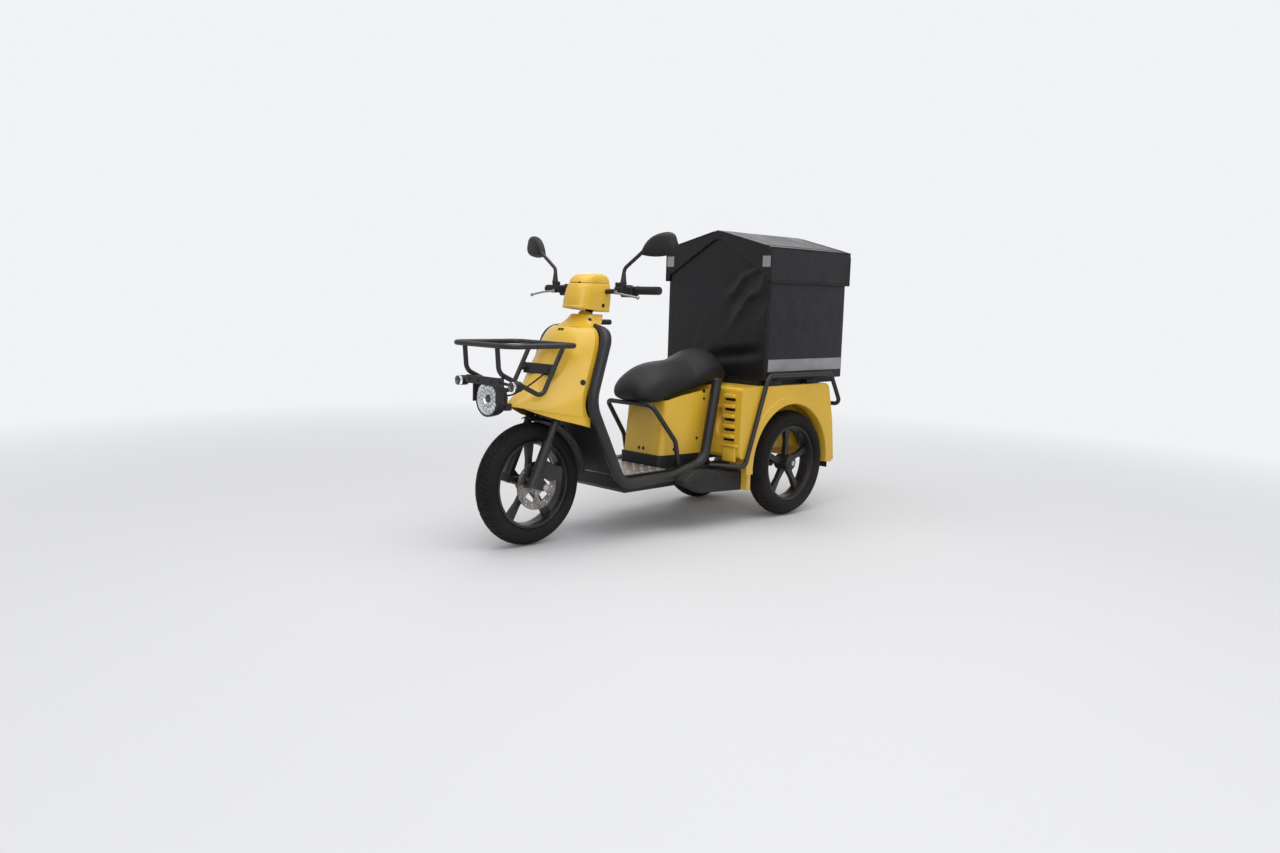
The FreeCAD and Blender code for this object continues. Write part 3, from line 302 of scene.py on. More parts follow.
@dataclass(frozen=True)
class Finish:
    """A painted, moulded or metal surface with its wear, dust and grain."""

    name: str
    base: Colour
    shade: Colour
    worn: Colour
    rough: float = 0.5
    rough_worn: float = 0.65
    metal: float = 0.0
    coat: float = 0.0
    edge: float = 0.4
    scuffs: float = 0.3
    scuff_scale: float = 9.0
    dust: float = 0.3
    dust_top: float = 0.55
    grain: float = 700.0
    depth: float = 0.05
    sheen: float = 0.0
    shine: float = 0.5
    dust_colour: Colour = (0.33, 0.30, 0.26)

    def material(self) -> bpy.types.Material:
        """Fetch the finish's material, building it the first time.

        Returns:
            The material.
        """
        found = bpy.data.materials.get(self.name)
        return found or self.build()

    def effect(self, graph: Graph, name: str, where: object, **values: object) -> bpy.types.Node:
        """Place a shared effect.

        Args:
            graph: The material's graph.
            name: The effect's name.
            where: Coordinates socket.
            values: The effect's inputs.

        Returns:
            The group node.
        """
        node = graph.tree.nodes.new("ShaderNodeGroup")
        node.node_tree = Effects.group(name)
        graph.feed(node.inputs["Vector"], where)
        for key, value in values.items():
            graph.feed(node.inputs[key], value)
        return node

    def start(self) -> tuple[bpy.types.Material, Graph, bpy.types.Node, object]:
        """Make the empty material.

        Returns:
            The material, its graph, its Principled node and Object coordinates.
        """
        material = bpy.data.materials.new(self.name)
        material.use_nodes = True
        graph = Graph(material.node_tree)
        shader = material.node_tree.nodes["Principled BSDF"]
        return material, graph, shader, graph.add("TexCoord").outputs["Object"]

    def build(self) -> bpy.types.Material:
        """Build the material.

        Returns:
            The material.
        """
        material, graph, shader, where = self.start()
        wear = self.effect(graph, "wear", where, Edge=self.edge, Scuffs=self.scuffs, Scale=self.scuff_scale)
        dust = self.effect(graph, "dust", where, Top=self.dust_top, Amount=self.dust)
        colour = graph.blend(wear.outputs["Mottle"], self.shade, self.base)
        colour = graph.blend(wear.outputs["Mask"], colour, self.worn)
        colour = graph.blend(dust.outputs["Mask"], colour, self.dust_colour)
        graph.feed(shader.inputs["Base Color"], colour)
        rough = graph.remap(wear.outputs["Mottle"], 0.0, 1.0, self.rough * 1.12, self.rough * 0.92)
        both = graph.math("MAXIMUM", wear.outputs["Mask"], dust.outputs["Mask"])
        rough = graph.add("Mix", {0: both, 2: rough, 3: self.rough_worn}, data_type="FLOAT").outputs[0]
        graph.feed(shader.inputs["Roughness"], rough)
        shader.inputs["Metallic"].default_value = self.metal
        shader.inputs["Specular IOR Level"].default_value = self.shine
        shader.inputs["Coat Weight"].default_value = self.coat
        shader.inputs["Coat Roughness"].default_value = 0.12
        shader.inputs["Sheen Weight"].default_value = self.sheen
        grain = self.effect(graph, "grain", where, Scale=self.grain)
        bump = graph.add("Bump", {"Height": grain.outputs["Height"], "Strength": self.depth,
                                  "Distance": 0.001})
        graph.feed(shader.inputs["Normal"], bump.outputs[0])
        return material


@dataclass(frozen=True)
class Cloth(Finish):
    """Coated cloth: weave, soft sheen and handling marks."""

    pitch: float = 0.0016
    weave: float = 0.25

    def build(self) -> bpy.types.Material:
        """Build the material.

        Returns:
            The material.
        """
        material, graph, shader, where = self.start()
        weave = self.effect(graph, "weave", where, Pitch=self.pitch)
        wear = self.effect(graph, "wear", where, Edge=self.edge, Scuffs=self.scuffs, Scale=self.scuff_scale)
        dust = self.effect(graph, "dust", where, Top=self.dust_top, Amount=self.dust)
        colour = graph.blend(weave.outputs["Mottle"], self.shade, self.base)
        colour = graph.blend(wear.outputs["Mask"], colour, self.worn)
        colour = graph.blend(dust.outputs["Mask"], colour, self.dust_colour)
        graph.feed(shader.inputs["Base Color"], colour)
        graph.feed(shader.inputs["Roughness"],
                   graph.remap(weave.outputs["Mottle"], 0.0, 1.0, self.rough * 1.15, self.rough * 0.85))
        shader.inputs["Sheen Weight"].default_value = self.sheen
        shader.inputs["Sheen Roughness"].default_value = 0.4
        shader.inputs["Specular IOR Level"].default_value = self.shine
        shader.inputs["Coat Weight"].default_value = self.coat
        shader.inputs["Coat Roughness"].default_value = 0.35
        crinkle = graph.add("TexNoise", {"Vector": where, "Scale": 28.0, "Detail": 5.0, "Distortion": 0.6})
        soft = graph.add("Bump", {"Height": crinkle.outputs[0], "Strength": 0.35, "Distance": 0.004})
        bump = graph.add("Bump", {"Height": weave.outputs["Height"], "Strength": self.weave,
                                  "Distance": 0.0004, "Normal": soft.outputs[0]})
        graph.feed(shader.inputs["Normal"], bump.outputs[0])
        return material


@dataclass(frozen=True)
class TurnedSteel(Finish):
    """Ground steel with fine rings about the wheel's axle."""

    centre: Point = (0.0, FRONT_Y, AXLE_Z)

    def build(self) -> bpy.types.Material:
        """Build the material.

        Returns:
            The material.
        """
        material, graph, shader, where = self.start()
        moved = graph.add("Mapping", {"Vector": where, "Location": tuple(-c for c in self.centre)})
        rings = graph.add("TexWave",
                          {"Vector": moved.outputs[0], "Scale": 300.0, "Distortion": 1.5, "Detail": 3.0},
                          wave_type="RINGS", rings_direction="X")
        cloud = graph.add("TexNoise", {"Vector": where, "Scale": 30.0, "Detail": 6.0})
        colour = graph.blend(graph.remap(cloud.outputs[0], 0.4, 0.7), self.base, self.worn)
        graph.feed(shader.inputs["Base Color"], colour)
        graph.feed(shader.inputs["Roughness"],
                   graph.remap(rings.outputs[1], 0.0, 1.0, self.rough, self.rough * 1.5))
        shader.inputs["Metallic"].default_value = self.metal
        bump = graph.add("Bump", {"Height": rings.outputs[1], "Strength": self.depth, "Distance": 0.0005})
        graph.feed(shader.inputs["Normal"], bump.outputs[0])
        return material


@dataclass(frozen=True)
class ClearGlass(Finish):
    """Clear or tinted lens."""

    def build(self) -> bpy.types.Material:
        """Build the material.

        Returns:
            The material.
        """
        material, graph, shader, where = self.start()
        smear = graph.add("TexNoise", {"Vector": where, "Scale": 40.0, "Detail": 5.0})
        graph.feed(shader.inputs["Roughness"], graph.remap(smear.outputs[0], 0.4, 0.75, 0.02, 0.16))
        graph.feed(shader.inputs["Base Color"],
                   graph.blend(graph.remap(smear.outputs[0], 0.3, 0.8), self.base, self.shade))
        shader.inputs["Transmission Weight"].default_value = 1.0
        shader.inputs["IOR"].default_value = 1.45
        return material


YELLOW = Finish(
    "yellow_moulding", base=(0.76, 0.47, 0.035), shade=(0.69, 0.42, 0.030),
    worn=(0.55, 0.41, 0.15), rough=0.34, rough_worn=0.55, coat=0.18, edge=0.5, scuffs=0.35, dust=0.35,
    dust_top=0.5, grain=420.0, depth=0.02,
)
TUBE_BLACK = Finish(
    "powder_coat", base=(0.018, 0.018, 0.020), shade=(0.013, 0.013, 0.015),
    worn=(0.10, 0.095, 0.09), rough=0.38, edge=0.3, scuffs=0.3, dust=0.25, grain=900.0, depth=0.06,
    shine=0.4, dust_colour=(0.12, 0.11, 0.10),
)
PLASTIC_BLACK = Finish(
    "black_moulding", base=(0.012, 0.012, 0.013), shade=(0.009, 0.009, 0.010),
    worn=(0.07, 0.07, 0.07), rough=0.50, edge=0.25, scuffs=0.25, dust=0.15, grain=800.0, depth=0.14,
    shine=0.32, dust_colour=(0.12, 0.11, 0.10),
)
PLASTIC_GREY = Finish(
    "scuffed_grey_moulding", base=(0.019, 0.018, 0.018), shade=(0.013, 0.013, 0.013),
    worn=(0.10, 0.095, 0.09), rough=0.58, edge=0.4, scuffs=0.6, dust=0.15, grain=800.0, depth=0.16,
    shine=0.32, dust_colour=(0.14, 0.13, 0.11),
)
WHEEL_BLACK = Finish(
    "cast_wheel_paint", base=(0.011, 0.011, 0.012), shade=(0.008, 0.008, 0.009),
    worn=(0.09, 0.085, 0.08), rough=0.36, edge=0.25, scuffs=0.25, dust=0.3, dust_top=0.62, grain=500.0,
    depth=0.05, shine=0.4, dust_colour=(0.12, 0.105, 0.09),
)
RUBBER = Finish(
    "tyre_rubber_worn", base=(0.0075, 0.0068, 0.0062), shade=(0.0055, 0.0050, 0.0048),
    worn=(0.030, 0.026, 0.023), rough=0.75, edge=0.7, scuffs=0.5, dust=0.3, dust_top=0.66, grain=600.0,
    depth=0.15, shine=0.2, dust_colour=(0.060, 0.052, 0.045),
)
GRIP_RUBBER = Finish(
    "soft_grip_rubber", base=(0.010, 0.010, 0.010), shade=(0.008, 0.008, 0.008),
    worn=(0.04, 0.04, 0.04), rough=0.78, scuffs=0.2, dust=0.0, grain=1100.0, depth=0.25,
)
STEEL = TurnedSteel(
    "ground_disc_steel", base=(0.30, 0.29, 0.28), shade=(0.2, 0.2, 0.2),
    worn=(0.17, 0.13, 0.10), rough=0.30, metal=1.0, depth=0.1,
)
ZINC = Finish(
    "zinc_bolt", base=(0.55, 0.54, 0.52), shade=(0.45, 0.44, 0.42),
    worn=(0.2, 0.17, 0.14), rough=0.32, metal=1.0, edge=0.5, scuffs=0.4, dust=0.3, grain=900.0,
    depth=0.05,
)
LEVER = Finish(
    "cast_lever_alloy", base=(0.35, 0.35, 0.36), shade=(0.28, 0.28, 0.29),
    worn=(0.5, 0.5, 0.5), rough=0.35, metal=1.0, edge=0.6, scuffs=0.5, dust=0.0, grain=900.0, depth=0.05,
)
PLATE = Finish(
    "scuffed_chequer_plate", base=(0.50, 0.48, 0.45), shade=(0.36, 0.34, 0.31),
    worn=(0.74, 0.72, 0.69), rough=0.38, metal=0.85, edge=0.9, scuffs=0.9, scuff_scale=22.0, dust=0.5,
    grain=600.0, depth=0.12,
)
VINYL = Finish(
    "charcoal_vinyl", base=(0.016, 0.0155, 0.017), shade=(0.012, 0.0115, 0.013),
    worn=(0.045, 0.045, 0.045), rough=0.56, edge=0.1, scuffs=0.2, dust=0.0, grain=520.0, depth=0.32,
    shine=0.30,
)
BOX_CLOTH = Cloth(
    "coated_box_cloth", base=(0.0075, 0.0076, 0.0092), shade=(0.0058, 0.0060, 0.0074),
    worn=(0.030, 0.030, 0.032), rough=0.33, edge=0.5, scuffs=0.35, scuff_scale=16.0, dust=0.0, coat=0.10,
    shine=0.25,
)
# Lighter copy of the box cloth for the lid's up-facing faces: a painted sheen that stands in for the grazing
# reflection on the roof.
PAINTED_SHEEN_ROOF_CLOTH = Cloth(
    "lid_top_cloth_painted_sheen", base=(0.040, 0.039, 0.042), shade=(0.029, 0.029, 0.032),
    worn=(0.09, 0.09, 0.09), rough=0.5, edge=0.4, scuffs=0.5, scuff_scale=14.0, dust=0.0, coat=0.05,
    sheen=0.05, shine=0.3,
)
TAPE = Cloth(
    "reflective_tape", base=(0.30, 0.30, 0.31), shade=(0.21, 0.21, 0.22),
    worn=(0.12, 0.12, 0.12), rough=0.35, edge=0.6, scuffs=0.8, scuff_scale=20.0, dust=0.0, coat=0.3,
    pitch=0.003, weave=0.2,
)
LENS = ClearGlass(
    "clear_lens", base=(0.97, 0.98, 0.98), shade=(0.90, 0.92, 0.92),
    worn=(1.0, 1.0, 1.0),
)
CHROME = Finish(
    "lamp_reflector", base=(0.80, 0.81, 0.82), shade=(0.66, 0.67, 0.68),
    worn=(0.9, 0.9, 0.9), rough=0.16, metal=1.0, edge=0.0, scuffs=0.0, dust=0.0, grain=300.0, depth=0.15,
)
MIRROR = Finish(
    "mirror_silver", base=(0.86, 0.87, 0.88), shade=(0.83, 0.84, 0.85),
    worn=(0.7, 0.7, 0.7), rough=0.03, rough_worn=0.2, metal=1.0, edge=0.0, scuffs=0.05, dust=0.0,
    grain=10.0, depth=0.0,
)
RED_LENS = Finish(
    "red_lamp_lens", base=(0.42, 0.012, 0.008), shade=(0.33, 0.008, 0.006),
    worn=(0.5, 0.1, 0.08), rough=0.16, coat=0.8, edge=0.2, scuffs=0.1, dust=0.25, grain=220.0, depth=0.1,
)
CASE = Finish(
    "battery_case_grey", base=(0.10, 0.10, 0.10), shade=(0.08, 0.08, 0.08),
    worn=(0.2, 0.2, 0.2), rough=0.55, grain=500.0,
)

NODE_FINISH: dict[str, Finish] = {
    **dict.fromkeys(("leg_shield", "seat_body", "rear_body", "cowl_mask", "cowl_cap", "neck"), YELLOW),
    **dict.fromkeys(("main_frame", "guard_rail", "front_rack", "rack_brackets", "seat_hoop", "handlebar",
                     "mirror_stems", "lamp_bracket", "rear_axle", "fork", "steering_stem", "brake_caliper"),
                    TUBE_BLACK),
    **dict.fromkeys(("inner_panel", "floor_pan", "cargo_tray", "front_mudguard", "control_housings",
                     "mirror_heads", "headlamp_bucket", "indicators", "bag_peg"), PLASTIC_BLACK),
    **dict.fromkeys(("front_rim", "rear_rim_left", "rear_rim_right"), WHEEL_BLACK),
    **dict.fromkeys(("front_tyre", "rear_tyre_left", "rear_tyre_right"), RUBBER),
    **dict.fromkeys(("cargo_box", "cargo_lid"), BOX_CLOTH),
    **dict.fromkeys(("headlamp_lens", "indicator_lenses"), LENS),
    "footrest_pods": PLASTIC_GREY,
    "brake_disc": STEEL,
    "front_axle": ZINC,
    "brake_levers": LEVER,
    "grips": GRIP_RUBBER,
    "footboard": PLATE,
    "saddle": VINYL,
    "tail_lamps": RED_LENS,
    "battery_block": CASE,
}


def bent_line(corners: list[tuple], segments: int) -> list[Vector]:
    """Points along straight runs joined by round bends.

    Args:
        corners: Points (x, y, z, bend radius).
        segments: Steps of each bend.

    Returns:
        The points of the line.
    """
    line = [Vector(corners[0][:3])]
    for before, corner, after in zip(corners, corners[1:], corners[2:]):
        middle = Vector(corner[:3])
        back = (Vector(before[:3]) - middle).normalized()
        onward = (Vector(after[:3]) - middle).normalized()
        half = back.angle(onward) / 2
        reach = corner[3] / math.tan(half)
        centre = middle + (back + onward).normalized() * (corner[3] / math.sin(half))
        start, end = middle + back * reach - centre, middle + onward * reach - centre
        line.extend(centre + start.slerp(end, step / segments) * corner[3] for step in range(segments + 1))
    line.append(Vector(corners[-1][:3]))
    return line


def arc_through(start: Point, middle: Point, end: Point, steps: int) -> list[Vector]:
    """Points of a smooth bow from start to end, without the start.

    Args:
        start: First point.
        middle: A point that the bow passes.
        end: Last point.
        steps: Number of points.

    Returns:
        The points.
    """
    first, last = Vector(start), Vector(end)
    lift = Vector(middle) - (first + last) / 2
    return [first.lerp(last, step / steps) + lift * (4 * (step / steps) * (1 - step / steps))
            for step in range(1, steps + 1)]


class Shape:
    """One piece under construction: a bmesh and the calls that shape it."""

    def __init__(self, name: str) -> None:
        """Start an empty piece.

        Args:
            name: The piece's name.
        """
        self.name = name
        self.mesh = bmesh.new()

    def everything(self) -> list:
        """All vertices, edges and faces."""
        return self.mesh.verts[:] + self.mesh.edges[:] + self.mesh.faces[:]

    def rod(self, start: Point, end: Point, radius: float, tip: float | None = None,
            sides: int = 20) -> list:
        """Add a round or tapered rod.

        Args:
            start: Middle of the first end.
            end: Middle of the other end.
            radius: Radius at the start.
            tip: Radius at the end, if it differs.
            sides: Number of sides.

        Returns:
            The new vertices.
        """
        axis = Vector(end) - Vector(start)
        turn = axis.to_track_quat("Z", "Y").to_matrix().to_4x4()
        place = Matrix.Translation((Vector(start) + Vector(end)) / 2) @ turn
        made = bmesh.ops.create_cone(self.mesh, cap_ends=True, segments=sides, radius1=radius,
                                     radius2=radius if tip is None else tip, depth=axis.length)
        bmesh.ops.transform(self.mesh, matrix=place, verts=made["verts"])
        return made["verts"]

    def brick(self, low: Point, high: Point, soft: float = 0.0, segments: int = 2) -> list:
        """Add a box with softened edges.

        Args:
            low: Lowest corner.
            high: Highest corner.
            soft: Edge radius.
            segments: Segments of the soft edges.

        Returns:
            The new vertices before their edges are softened.
        """
        low, high = Vector(low), Vector(high)
        size = high - low
        made = bmesh.ops.create_cube(self.mesh, size=1.0, matrix=Matrix.Translation((low + high) / 2)
                                     @ Matrix.Diagonal((*size, 1.0)))
        if soft:
            edges = {edge for vert in made["verts"] for edge in vert.link_edges}
            self.soften(list(edges), soft, segments)
        return made["verts"]

    def soften(self, edges: list, width: float, segments: int = 2) -> None:
        """Round some edges.

        Args:
            edges: The edges.
            width: The width of the round.
            segments: Number of segments.
        """
        bmesh.ops.bevel(self.mesh, geom=edges, offset=width, offset_type="OFFSET", segments=segments,
                        profile=0.5, affect="EDGES", material=-1)

    def ball(self, centre: Point, scale: Point, turn: Matrix | None = None, u: int = 12,
             v: int = 8) -> list:
        """Add a ball stretched along its axes.

        Args:
            centre: Its middle.
            scale: Its three radii.
            turn: A turn given before it is moved.
            u: Segments round.
            v: Rings.

        Returns:
            The new vertices.
        """
        stretch = Matrix.Diagonal((*scale, 1.0))
        place = Matrix.Translation(Vector(centre)) @ (turn or Matrix.Identity(4)) @ stretch
        return bmesh.ops.create_uvsphere(self.mesh, u_segments=u, v_segments=v, radius=1.0,
                                         matrix=place)["verts"]

    def lathe(self, profile: list[tuple[float, float]], steps: int, place: Matrix | None = None) -> list:
        """Turn a profile about the X axis.

        Args:
            profile: Points (along the axis, radius).
            steps: Steps of the full turn.
            place: Matrix for the turned shape.

        Returns:
            The new vertices.
        """
        old = set(self.mesh.verts)
        verts = [self.mesh.verts.new((along, 0.0, radius)) for along, radius in profile]
        edges = [self.mesh.edges.new(pair) for pair in zip(verts, verts[1:])]
        bmesh.ops.spin(self.mesh, geom=verts + edges, cent=(0, 0, 0), axis=(1, 0, 0), angle=math.tau,
                       steps=steps, use_merge=True)
        new = [vert for vert in self.mesh.verts if vert not in old]
        bmesh.ops.remove_doubles(self.mesh, verts=new, dist=1e-6)
        new = [vert for vert in self.mesh.verts if vert not in old]
        bmesh.ops.transform(self.mesh, matrix=place or Matrix.Identity(4), verts=new)
        faces = {face for vert in new for face in vert.link_faces}
        bmesh.ops.recalc_face_normals(self.mesh, faces=list(faces))
        return new

    def slab(self, outline: list[Point], thickness: Point) -> list:
        """Add a flat plate: an outline pushed along a vector.

        Args:
            outline: Corners of its face.
            thickness: The vector that it is pushed along.

        Returns:
            The plate's faces.
        """
        verts = [self.mesh.verts.new(point) for point in outline]
        face = self.mesh.faces.new(verts)
        made = bmesh.ops.extrude_face_region(self.mesh, geom=[face], use_keep_orig=True)
        moved = [item for item in made["geom"] if isinstance(item, bmesh.types.BMVert)]
        bmesh.ops.translate(self.mesh, vec=Vector(thickness), verts=moved)
        faces = {linked for vert in verts + moved for linked in vert.link_faces}
        bmesh.ops.recalc_face_normals(self.mesh, faces=list(faces))
        return list(faces)

    def cut_grid(self, low: Vector, high: Vector, step: float) -> None:
        """Cut the whole piece by evenly spaced planes along the three axes.

        Args:
            low: Lowest corner of the cuts.
            high: Highest corner of the cuts.
            step: Largest space between two cuts.
        """
        for axis in range(3):
            normal = Vector(1.0 if axis == index else 0.0 for index in range(3))
            count = max(2, math.ceil((high[axis] - low[axis]) / step))
            for cut in range(1, count):
                place = low[axis] + (high[axis] - low[axis]) * cut / count
                bmesh.ops.bisect_plane(self.mesh, geom=self.everything(), dist=1e-5,
                                       plane_co=normal * place, plane_no=normal)

    def pipe(self, points: list[Point], radius: float, closed: bool = False, order: int = 3,
             sides: int = 2) -> None:
        """Add a bent tube along a smooth line.

        Args:
            points: Points that steer the line.
            radius: The tube's radius.
            closed: Whether it joins up.
            order: 2 for straight runs, 3 or 4 for smooth ones.
            sides: Bevel resolution of the tube.
        """
        curve = bpy.data.curves.new(self.name + "_line", "CURVE")
        curve.dimensions = "3D"
        curve.bevel_depth = radius
        curve.bevel_resolution = sides
        curve.resolution_u = 6
        curve.use_fill_caps = True
        spline = curve.splines.new("NURBS")
        spline.points.add(len(points) - 1)
        for point, place in zip(spline.points, points):
            point.co = (*place, 1.0)
        spline.use_cyclic_u = closed
        spline.order_u = order
        spline.use_endpoint_u = not closed
        carrier = bpy.data.objects.new(curve.name, curve)
        bpy.context.scene.collection.objects.link(carrier)
        bpy.context.view_layer.update()
        made = bpy.data.meshes.new_from_object(carrier.evaluated_get(bpy.context.evaluated_depsgraph_get()))
        self.mesh.from_mesh(made)
        bpy.data.objects.remove(carrier)
        bpy.data.meshes.remove(made)

    def tube(self, corners: list[tuple], radius: float, segments: int = 7, sides: int = 20) -> None:
        """Add a tube with straight runs and round bends.

        Args:
            corners: Points (x, y, z, bend radius).
            radius: The tube's radius.
            segments: Steps of each bend.
            sides: Sides of the tube.
        """
        line = bent_line(corners, segments)
        rings = []
        aside = None
        for index, place in enumerate(line):
            ahead = (line[min(index + 1, len(line) - 1)] - line[max(index - 1, 0)]).normalized()
            aside = aside - ahead * aside.dot(ahead) if aside else ahead.orthogonal()
            aside.normalize()
            up = ahead.cross(aside)
            turns = [math.tau * side / sides for side in range(sides)]
            rings.append([place + (aside * math.cos(a) + up * math.sin(a)) * radius for a in turns])
        self.loft(rings)

    def loft(self, rings: list[list[Vector]], capped: bool = True) -> list:
        """Join rings of as many points each into one skin.

        Args:
            rings: The rings, in order.
            capped: Whether the first and last ring are closed by a face.

        Returns:
            The new vertices.
        """
        loops = []
        made = []
        for ring in rings:
            verts = [self.mesh.verts.new(place) for place in ring]
            loops.append([self.mesh.edges.new((verts[i - 1], verts[i])) for i in range(len(verts))])
            made.extend(verts)
        for first, second in zip(loops, loops[1:]):
            bmesh.ops.bridge_loops(self.mesh, edges=first + second)
        if capped:
            for loop in (loops[0], loops[-1]):
                bmesh.ops.contextual_create(self.mesh, geom=loop)
        faces = {face for vert in made for face in vert.link_faces}
        bmesh.ops.recalc_face_normals(self.mesh, faces=list(faces))
        return made

    def mirrored(self) -> None:
        """Repeat the whole piece on the other side of the middle plane."""
        copy = bmesh.ops.duplicate(self.mesh, geom=self.everything())["geom"]
        verts = [item for item in copy if isinstance(item, bmesh.types.BMVert)]
        faces = [item for item in copy if isinstance(item, bmesh.types.BMFace)]
        bmesh.ops.scale(self.mesh, vec=(-1.0, 1.0, 1.0), verts=verts)
        bmesh.ops.reverse_faces(self.mesh, faces=faces)

    def done(self, body: Body, slot: Slot, finish: Finish, sharp: float = 35.0) -> bpy.types.Object:
        """Make the object, with its finish, riding on its body.

        Args:
            body: The body that it moves with.
            slot: The record's material slot. Not used.
            finish: Its finish.
            sharp: Edges sharper than this angle in degrees stay crisp.

        Returns:
            The object.
        """
        mesh = bpy.data.meshes.new(self.name)
        self.mesh.to_mesh(mesh)
        self.mesh.free()
        mesh.polygons.foreach_set("use_smooth", [True] * len(mesh.polygons))
        mesh.set_sharp_from_angle(angle=math.radians(sharp))
        mesh.materials.append(finish.material())
        item = bpy.data.objects.new(self.name, mesh)
        bpy.context.scene.collection.objects.link(item)
        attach(item, body.value)
        log.info("%s: %d faces", self.name, len(mesh.polygons))
        return item


@dataclass
class PhotoCamera:
    """The photograph's camera, found from the three wheels on one floor."""

    place: Point = (3.4185, -3.5216, 1.0721)
    yaw: float = 45.04
    pitch: float = 7.15
    roll: float = 1.69
    focal: float = 1031.0
    width: float = 1280.0
    height: float = 853.0

    def axes(self) -> tuple[Vector, Vector, Vector]:
        """Work out where the camera's right, up and forward point.

        Returns:
            Right, up and forward.
        """
        yaw, pitch, roll = (math.radians(a) for a in (self.yaw, self.pitch, self.roll))
        forward = Vector((-math.sin(yaw) * math.cos(pitch), math.cos(yaw) * math.cos(pitch),
                          -math.sin(pitch)))
        right = Vector((math.cos(yaw), math.sin(yaw), 0.0))
        up = right.cross(forward)
        return (math.cos(roll) * right + math.sin(roll) * up, math.cos(roll) * up - math.sin(roll) * right,
                forward)

    def ray(self, across: float, down: float) -> Vector:
        """Direction of a place in the picture.

        Args:
            across: Pixels from the left.
            down: Pixels from the top.

        Returns:
            A unit vector from the camera.
        """
        right, up, forward = self.axes()
        aim = forward * self.focal + right * (across - self.width / 2) + up * (self.height / 2 - down)
        return aim.normalized()

    def build(self) -> None:
        """Add the camera to the scene."""
        data = bpy.data.cameras.new("photo_camera")
        data.sensor_width = 36.0
        data.lens = self.focal / self.width * 36.0
        item = bpy.data.objects.new("photo_camera", data)
        right, up, forward = self.axes()
        turn = Matrix((right, up, -forward)).transposed().to_4x4()
        item.matrix_world = Matrix.Translation(self.place) @ turn
        bpy.context.scene.collection.objects.link(item)
        bpy.context.scene.camera = item


@dataclass
class Studio:
    """Pale floor, soft lamps and a plain world."""

    floor: Colour = (0.70, 0.70, 0.71)
    haze: Colour = (0.93, 0.94, 0.96)
    sky: float = 0.54

    def build(self) -> None:
        """Add the floor, the lamps and the world."""
        self.add_floor()
        self.add_world()
        lamps = (("overhead", (0.6, -0.4, 4.2), (0.0, 0.0, 0.4), 5.0, 150.0),
                 ("front_fill", (4.2, -3.2, 2.6), (0.0, 0.0, 0.6), 3.0, 50.0),
                 ("rear_fill", (-3.0, 3.6, 2.8), (0.0, 0.2, 0.7), 3.0, 36.0))
        for name, place, target, side, power in lamps:
            data = bpy.data.lights.new(name, "AREA")
            data.shape = "SQUARE"
            data.size = side
            data.energy = power
            lamp = bpy.data.objects.new(name, data)
            aim = (Vector(target) - Vector(place)).to_track_quat("-Z", "Y").to_matrix().to_4x4()
            lamp.matrix_world = Matrix.Translation(place) @ aim
            bpy.context.scene.collection.objects.link(lamp)
        bpy.context.scene.view_settings.view_transform = "Standard"

    def add_floor(self) -> None:
        """Add the floor that keeps the shadow."""
        mesh = bpy.data.meshes.new("floor")
        made = bmesh.new()
        bmesh.ops.create_circle(made, cap_ends=True, segments=96, radius=30.0)
        made.to_mesh(mesh)
        made.free()
        item = bpy.data.objects.new("floor", mesh)
        bpy.context.scene.collection.objects.link(item)
        material = bpy.data.materials.new("pale_floor")
        material.use_nodes = True
        graph = Graph(material.node_tree)
        shader = material.node_tree.nodes["Principled BSDF"]
        shader.inputs["Base Color"].default_value = (*self.floor, 1.0)
        shader.inputs["Roughness"].default_value = 0.75
        away = graph.add("VectorMath", {0: graph.add("TexCoord").outputs["Object"]}, operation="LENGTH")
        far = graph.remap(away.outputs["Value"], 1.6, 5.5)
        seen = graph.math("MULTIPLY", far, graph.add("LightPath").outputs["Is Camera Ray"])
        pale = graph.add("Emission", {"Color": self.haze, "Strength": 0.95})
        both = graph.add("MixShader", {0: seen, 1: shader.outputs[0], 2: pale.outputs[0]})
        graph.feed(material.node_tree.nodes["Material Output"].inputs["Surface"], both.outputs[0])
        mesh.materials.append(material)

    def add_world(self) -> None:
        """Add a pale world, near white to the camera and through glass, and dimmer in gloss."""
        world = bpy.data.worlds.new("pale_world")
        bpy.context.scene.world = world
        world.use_nodes = True
        graph = Graph(world.node_tree)
        path = graph.add("LightPath")
        seen = graph.math("MAXIMUM", path.outputs["Is Camera Ray"], path.outputs["Is Transmission Ray"])
        seen = graph.math("MAXIMUM", seen, graph.math("MULTIPLY", path.outputs["Is Glossy Ray"], 0.6))
        node = world.node_tree.nodes["Background"]
        node.inputs["Color"].default_value = (*self.haze, 1.0)
        graph.feed(node.inputs["Strength"], graph.remap(seen, 0.0, 1.0, self.sky, 0.95))


